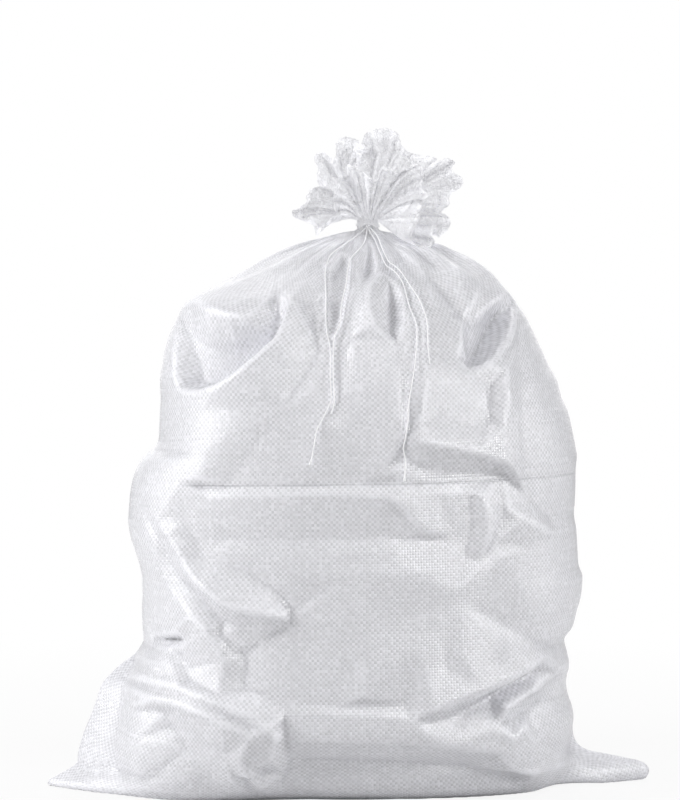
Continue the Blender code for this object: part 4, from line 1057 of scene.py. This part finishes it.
def woven_cloth(settings):
    """White woven tapes with packing creases, fine crumples and painted glints, painted light and
    shade on the creases, and a painted glow in the frill.
    """
    material, shader, make = start_material("woven_cloth", settings.roughness)
    place = make.node("ShaderNodeTexCoord", output="Object")
    across, along, _ = make.node("ShaderNodeUVMap", {"uv_map": "weave"}).parts()

    # Each crossing shows the tape that lies on top, and no two tapes lie quite alike
    warp = (across * math.pi).math("SINE")
    checker = warp * (along * math.pi).math("SINE")
    over = checker.band(-0.3, 0.3)
    upright, level = across.math("FLOOR"), along.math("FLOOR")
    cell = make.node("ShaderNodeCombineXYZ", inputs={"X": upright, "Y": level})
    chance = cell.chance("2D")
    tape = over * upright.chance() + (1.0 - over) * level.chance()

    # The frill: fine creases, a stitched hem, and painted shade along its crinkles, between its
    # gathers and in its lobes
    frill = make.attribute("frill")
    thin, hem = frill.band(0.0, 0.25), frill.band(0.88, 0.90)
    crinkle = (place.noise(150.0, 4.0, 0.6) - 0.5).math("ABSOLUTE") * thin
    painted_crinkle_shade = crinkle.band(0.024, 0.0) * thin
    stitch = (frill - 0.90).near(0.014, 0.005) * warp.band(-0.2, 0.2)
    gather_bump_and_shade = (across.noise(0.22, 3.0, kind="1D") - 0.5) * thin * (1.0 - frill * 0.75)
    painted_lobe_shade = across.noise(0.05, 1.0, kind="1D").band(0.54, 0.66)
    painted_lobe_shade = painted_lobe_shade * thin * (1.0 - frill * 0.4)

    # Light tapes on dark ones; crests painted lighter, partly the whitening of bent tapes and
    # partly a painted highlight; the frill painted whiter, for the light that passes through it
    crease = make.attribute("crease")
    crest, valley = crease.band(0.0, 1.0), crease.band(0.0, -1.0)
    # Painted shade and painted light along the packing creases, and their depth for the bump
    crease_painted_shade, crease_painted_light, groove = packing_creases(place)
    # Painted glints on the crossings with the highest random value
    tone = over * 0.50 + tape * 0.20 + chance * 0.26 + chance.band(0.8, 1.0) * 0.3
    tone = tone + place.noise(26.0, 3.0) * 0.15
    tone = tone + crest * 0.4 + crease_painted_light * 0.12 + thin * 0.5
    light = [min(1.0, part * LIGHT_TAPES) for part in settings.colour]
    dark = [part * DARK_TAPES for part in settings.colour]
    colour = tone.mix((*dark, 1.0), (*light, 1.0))
    # The frill painted whiter, for the light that passes through its single layer
    colour = (thin * 0.9).mix(colour, (0.96, 0.96, 0.97, 1.0))
    # Painted shade in valleys, along the packing creases, along the frill's crinkles, between its
    # gathers and in its lobes, with the real dark stitches of the hem
    stitches_and_painted_shade = valley * (0.22 - thin * 0.12) + crease_painted_shade * 0.4 + painted_crinkle_shade * 0.6 + stitch * 0.4
    stitches_and_painted_shade = stitches_and_painted_shade + gather_bump_and_shade * 4.0 + painted_lobe_shade * 0.35
    shade = stitches_and_painted_shade.mix((1.0, 1.0, 1.0, 1.0), (0.55, 0.55, 0.57, 1.0))
    colour = make.node("ShaderNodeMix", {"data_type": "RGBA", "blend_type": "MULTIPLY"},
                       {"Factor": 1.0, "A": colour, "B": shade}, output="Result")
    colour.feed(shader, "Base Color")

    # The frill is a single layer of cloth, and lets light through
    through = make.node("ShaderNodeBsdfTranslucent", inputs={"Color": (0.97, 0.97, 0.98, 1.0)})
    show(thin * (0.62 - hem * 0.2), shader, through)
    relief = (place.noise(85.0, 4.0, 0.55) * 0.0009 + checker.math("ABSOLUTE") * 0.00026
              + chance * 0.00022 - groove * 0.0006)
    relief = relief - crinkle * 0.018 - gather_bump_and_shade * 0.004
    bump = make.node("ShaderNodeBump", inputs={"Height": relief, "Distance": 1.0,
                                               "Strength": 0.7})
    bump.feed(shader, "Normal")
    bump.feed(through.output.node, "Normal")
    shader.inputs["Specular IOR Level"].default_value = 0.7

    # A painted glow, for light that scatters inside the single layer: stronger between the pleats
    # by the neck, weaker where shade is painted
    near = frill.band(0.10, 0.20) * frill.band(0.50, 0.24)
    painted_glow = thin * (1.0 - stitches_and_painted_shade * 0.9) * (near * 0.3 + 0.7)
    painted_glow.mix((0.0, 0.0, 0.0, 1.0), (0.97, 0.97, 1.0, 1.0)).feed(shader, "Emission Color")
    shader.inputs["Emission Strength"].default_value = FRILL_PAINTED_GLOW
    return material


def twine_finish(settings):
    """Thin white twine, with a painted glow for the light that passes through it."""
    material, shader, make = start_material("twine_clear_white", 0.38)
    place = make.node("ShaderNodeTexCoord", output="Object")
    dark = [part * 0.8 for part in settings.colour]
    fibre = place.noise(900.0, 3.0).mix((*dark, 1.0), (*settings.colour, 1.0))
    fibre.feed(shader, "Base Color")
    # Painted glow, for light that passes through the twine
    shader.inputs["Emission Color"].default_value = (1.0, 1.0, 1.0, 1.0)
    shader.inputs["Emission Strength"].default_value = TWINE_PAINTED_GLOW
    return material


def twine_tube(name, route, diameter, closed=False, fray=0.0):
    """Two plies twisted round each other, as one tube along the route.

    The radius at an angle is that of two round plies side by side, and the angle turns
    once for every lay length. Over the last stretch, of length fray, the fibres spread:
    the radius grows there along five of them."""
    sides, step = TWINE_SIDES, TWINE_LAY / LAY_RINGS
    length = np.linalg.norm(np.diff(route, axis=0), axis=1).sum()
    count = max(8, int(round(length / step)))
    line = walk(route, np.linspace(0.0, 1.0, count, endpoint=not closed))
    if closed:
        tangent = unit(np.roll(line, -1, axis=0) - np.roll(line, 1, axis=0))
    else:
        tangent = unit(np.gradient(line, axis=0))
    upright = abs(tangent[0, 2]) > 0.9
    last = unit(np.cross(tangent[0], (0.0, 1.0, 0.0) if upright else (0.0, 0.0, 1.0)))
    side = np.zeros_like(line)
    for k, heading in enumerate(tangent):
        last = unit(last - heading * (last @ heading))
        side[k] = last
    other = np.cross(tangent, side)
    around = 2 * math.pi * np.arange(sides) / sides
    twist = 2 * math.pi * np.arange(count) * step / TWINE_LAY
    ply = np.abs(np.cos(around[None, :] - twist[:, None]))
    radius = diameter / 2 * (0.72 + 0.28 * ply)
    if fray:
        spread = smoothstep(length - fray, length, np.linspace(0.0, length, count))
        radius *= 1.0 + spread[:, None] * (0.3 + 1.3 * np.cos(2.5 * around) ** 2)
    ring = (np.cos(around)[None, :, None] * side[:, None]
            + np.sin(around)[None, :, None] * other[:, None])
    points = (line[:, None] + ring * radius[..., None]).reshape(-1, 3)
    faces = grid_faces(count + 1 if closed else count, sides) % len(points)
    faces = faces.tolist()
    if not closed:
        tip = len(points)
        points = np.vstack([points, line[0] - tangent[0] * diameter * 0.2,
                            line[-1] + tangent[-1] * diameter * 0.2])
        faces += [[after, before, end] for before, after, end in fan(0, sides, tip)]
        faces += fan((count - 1) * sides, sides, tip + 1)
    return make_mesh(name, points, faces), line


class SACK_OT_stage(bpy.types.Operator):
    """Make the camera, the floor with its backdrop, and the lights"""
    bl_idname = "rubble_sack.stage"
    bl_label = "Stage"

    def execute(self, context):
        settings = context.scene.rubble_sack_stage
        lens = bpy.data.cameras.new("camera")
        lens.lens = settings.focal_length
        lens.sensor_width = 36.0
        camera = bpy.data.objects.new("camera", lens)
        camera.location = Vector(CAMERA_AIM) + CAMERA_DISTANCE * Vector(CAMERA_AWAY)
        camera.rotation_euler = (math.pi / 2 - CAMERA_ELEVATION, 0.0, 0.0)
        context.scene.collection.objects.link(camera)
        context.scene.camera = camera

        far = FLOOR_REACH
        floor = make_mesh("floor", [(-far, -far, 0), (far, -far, 0), (far, far, 0),
                                    (-far, far, 0)], [(0, 1, 2, 3)])
        floor.data.materials.append(pale_floor(settings))

        world = bpy.data.worlds.new("studio")
        world.use_nodes = True
        sky = world.node_tree.nodes["Background"]
        sky.inputs["Color"].default_value = (1.0, 1.0, 1.0, 1.0)
        seen = Socket(world.node_tree, None).node("ShaderNodeLightPath")
        strength = seen * (1.0 - settings.sky_strength) + settings.sky_strength
        strength.feed(sky, "Strength")
        context.scene.world = world
        context.scene.view_settings.view_transform = "Standard"

        for name, (place, width, height) in LAMPS.items():
            lamp = bpy.data.lights.new(name + "_light", "AREA")
            lamp.shape = "RECTANGLE"
            lamp.size = width
            lamp.size_y = height
            lamp.energy = getattr(settings, name + "_power")
            light = bpy.data.objects.new(name + "_light", lamp)
            light.location = place
            toward = SACK_MIDDLE - light.location
            light.rotation_euler = toward.to_track_quat("-Z", "Y").to_euler()
            light.visible_camera = False
            light.visible_diffuse = name != "front"
            context.scene.collection.objects.link(light)
        return {"FINISHED"}


class SACK_OT_twine_ends(bpy.types.Operator):
    """Make the four loose ends of the twine"""
    bl_idname = "rubble_sack.twine_ends"
    bl_label = "Loose ends of the twine"

    def execute(self, context):
        settings = context.scene.rubble_sack_twine
        finish = twine_finish(settings)
        for node, route in TIE_ENDS.items():
            fine = flow(route, np.linspace(0.0, 1.0, len(route) * 20))
            fray = FRAY if node.endswith("long") else 0.0
            piece, line = twine_tube(node + "_twine", fine, settings.diameter, fray=fray)
            piece.data.materials.append(finish)
            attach(piece, "root")
            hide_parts(node)
        return {"FINISHED"}


class SACK_OT_neck_tie(bpy.types.Operator):
    """Make the turns of twine round the neck and their knot"""
    bl_idname = "rubble_sack.neck_tie"
    bl_label = "Tie round the neck"

    def execute(self, context):
        settings = context.scene.rubble_sack_twine
        radius = NECK_RADIUS + GAP + TWINE_DIAMETER / 2
        turn = np.linspace(0.0, 2 * math.pi * TWINE_TURNS, 120)
        start = -math.pi * (0.5 + TWINE_TURNS)
        climb = TWINE_PITCH * (turn / (2 * math.pi) - TWINE_TURNS / 2)
        wrap = np.column_stack([NECK_X + radius * np.cos(turn + start),
                                radius * np.sin(turn + start), NECK_Z + climb])
        # The knot is a trefoil: sin t + 2 sin 2t across, cos t - 2 cos 2t up, sin 3t deep
        t = np.linspace(0.0, 2 * math.pi, 120, endpoint=False)
        front = -(NECK_RADIUS + GAP + 1.5 * TWINE_DIAMETER)
        knot = np.column_stack([NECK_X + KNOT_SCALE * (np.sin(t) + 2 * np.sin(2 * t)),
                                front - KNOT_SCALE * np.sin(3 * t),
                                NECK_Z + KNOT_SCALE * (np.cos(t) - 2 * np.cos(2 * t))])
        finish = bpy.data.materials["twine_clear_white"]
        coil, _ = twine_tube("neck_tie_twine", wrap, settings.diameter)
        bow, _ = twine_tube("neck_tie_knot", knot, settings.diameter, closed=True)
        for piece in (coil, bow):
            piece.data.materials.append(finish)
            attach(piece, "root")
            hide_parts("neck_tie")
        return {"FINISHED"}


def settled_cloth(form, settings):
    """The cloth from the seam to the mouth: folded, pleated, settled and creased."""
    outward = grid_normals(form)
    routes = [flow(route, np.linspace(0.0, 1.0, 240)) for route in TIE_ENDS.values()]
    body = meet_twine(pleat_body(fold_body(form)), outward, routes, *WIDE_BED)
    body[0, :, 2] = 0.0
    body[..., 2] = np.maximum(body[..., 2], LIFT)
    neck = neck_form()
    goal = np.concatenate([body, neck, frill_form(neck[-1])])

    lower = np.arange(len(goal))[:, None] < BODY_ROWS
    shoulder = smoothstep(*SHOULDER, neck_distance(goal)) * lower
    slack = 1.0 + BODY_SLACK + SHOULDER_SLACK * shoulder + FRILL_SLACK * ~lower
    slack = 1.0 + (slack - 1.0) * settings.slack
    hold = np.where(lower, BODY_HOLD, FRILL_HOLD)
    pinned = np.zeros(goal.shape[:2], bool)
    pinned[0] = True
    pinned[BODY_ROWS - 1:BODY_ROWS + NECK_ROWS] = True
    bumps = speckle(goal.shape[:2], 21, BUCKLES)[..., None]
    start = goal + grid_normals(goal) * bumps
    start[pinned] = goal[pinned]
    cloth = settle_cloth(start, goal, slack, hold, pinned,
                         settings.settling)
    crisp = np.where(lower, settings.crispness, 2.0 * settings.crispness)
    cloth = sharpen(cloth, np.where(pinned, 0.0, crisp))
    cloth[:BODY_ROWS] = meet_twine(cloth[:BODY_ROWS], outward, routes, *CLOSE_BED)
    cloth[..., 2] = np.maximum(cloth[..., 2], LIFT)
    cloth[pinned] = goal[pinned]
    return cloth, goal


def inner_frill(rows):
    """The rows of the frill again, from the mouth down, for its inner wall."""
    return rows[:-FRILL_ROWS - 1:-1]


class SACK_OT_sack(bpy.types.Operator):
    """Make the sack's cloth: the filled body, the neck and the frill"""
    bl_idname = "rubble_sack.sack"
    bl_label = "Sack"

    def execute(self, context):
        settings = context.scene.rubble_sack_cloth
        form = body_form()
        cloth, goal = settled_cloth(form, settings)
        inner = inner_frill(cloth - grid_normals(cloth) * CLOTH_WALL)
        grid = np.concatenate([cloth, inner])
        rows, plug = len(grid), grid[..., 0].size
        points = np.vstack([grid.reshape(-1, 3), (NECK_X, 0.0, NECK_Z + NECK_LENGTH / 2)])
        faces = grid_faces(rows, COLUMNS).tolist()
        faces += fan((rows - 1) * COLUMNS, COLUMNS, plug)

        lies = [np.concatenate([lie, inner_frill(lie)]) / settings.tape_width
                for lie in weave_lie(form)]
        row, col = np.meshgrid(np.arange(rows - 1), np.arange(COLUMNS), indexing="ij")
        uv = np.stack([np.stack([lie[row + up, col + on] for lie in lies], axis=-1)
                       for up, on in ((0, 0), (0, 1), (1, 1), (1, 0))], axis=2)
        uv = np.vstack([uv.reshape(-1, 2), np.zeros((3 * COLUMNS, 2))])
        piece = make_mesh("sack_cloth", points, faces, uv)

        marks = crease_marks(cloth)
        marks[:BODY_ROWS] *= smoothstep(*MARKED, neck_distance(goal[:BODY_ROWS]))
        marks = np.concatenate([marks, -inner_frill(marks)]).ravel()
        climb = np.arange(1, len(cloth) + 1) - BODY_ROWS + GATHER_ROWS
        climb = np.clip(climb / (GATHER_ROWS + NECK_ROWS + FRILL_ROWS), 0.0, 1.0)
        climb = np.repeat(np.concatenate([climb, inner_frill(climb)]), COLUMNS)
        for name, values in (("crease", marks), ("frill", climb)):
            layer = piece.data.attributes.new(name, "FLOAT", "POINT")
            layer.data.foreach_set("value", np.append(values, 0.0))
        piece.data.materials.append(woven_cloth(settings))
        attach(piece, "root")
        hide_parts("sack")
        return {"FINISHED"}


class SACK_PT_panel(bpy.types.Panel):
    """Lists the pieces of the rubble sack"""
    bl_idname = "SACK_PT_panel"
    bl_label = "Rubble Sack"
    bl_space_type = "VIEW_3D"
    bl_region_type = "UI"
    bl_category = "Rubble Sack"

    def draw(self, context):
        for title in SETTINGS:
            settings = getattr(context.scene, "rubble_sack_" + title)
            box = self.layout.box()
            box.label(text=title.title())
            for name in settings.bl_rna.properties.keys():
                if name not in ("rna_type", "name"):
                    box.prop(settings, name)
        for operator in OPERATORS:
            self.layout.operator(operator.bl_idname)


SETTINGS = {"stage": StageSettings, "cloth": ClothSettings, "twine": TwineSettings}
OPERATORS = (SACK_OT_stage, SACK_OT_twine_ends, SACK_OT_neck_tie, SACK_OT_sack)
CLASSES = (*SETTINGS.values(), *OPERATORS, SACK_PT_panel)


def register():
    """Make the classes known, and give the scene their settings."""
    for known in CLASSES:
        bpy.utils.register_class(known)
    for name, group in SETTINGS.items():
        setattr(bpy.types.Scene, "rubble_sack_" + name, bpy.props.PointerProperty(type=group))


def unregister():
    """Take back what register made known."""
    for name in SETTINGS:
        delattr(bpy.types.Scene, "rubble_sack_" + name)
    for known in reversed(CLASSES):
        bpy.utils.unregister_class(known)


def main():
    """Make the stage and every piece."""
    register()
    bpy.ops.rubble_sack.stage()
    bpy.ops.rubble_sack.twine_ends()
    bpy.ops.rubble_sack.neck_tie()
    bpy.ops.rubble_sack.sack()


if __name__ == "__main__":
    main()
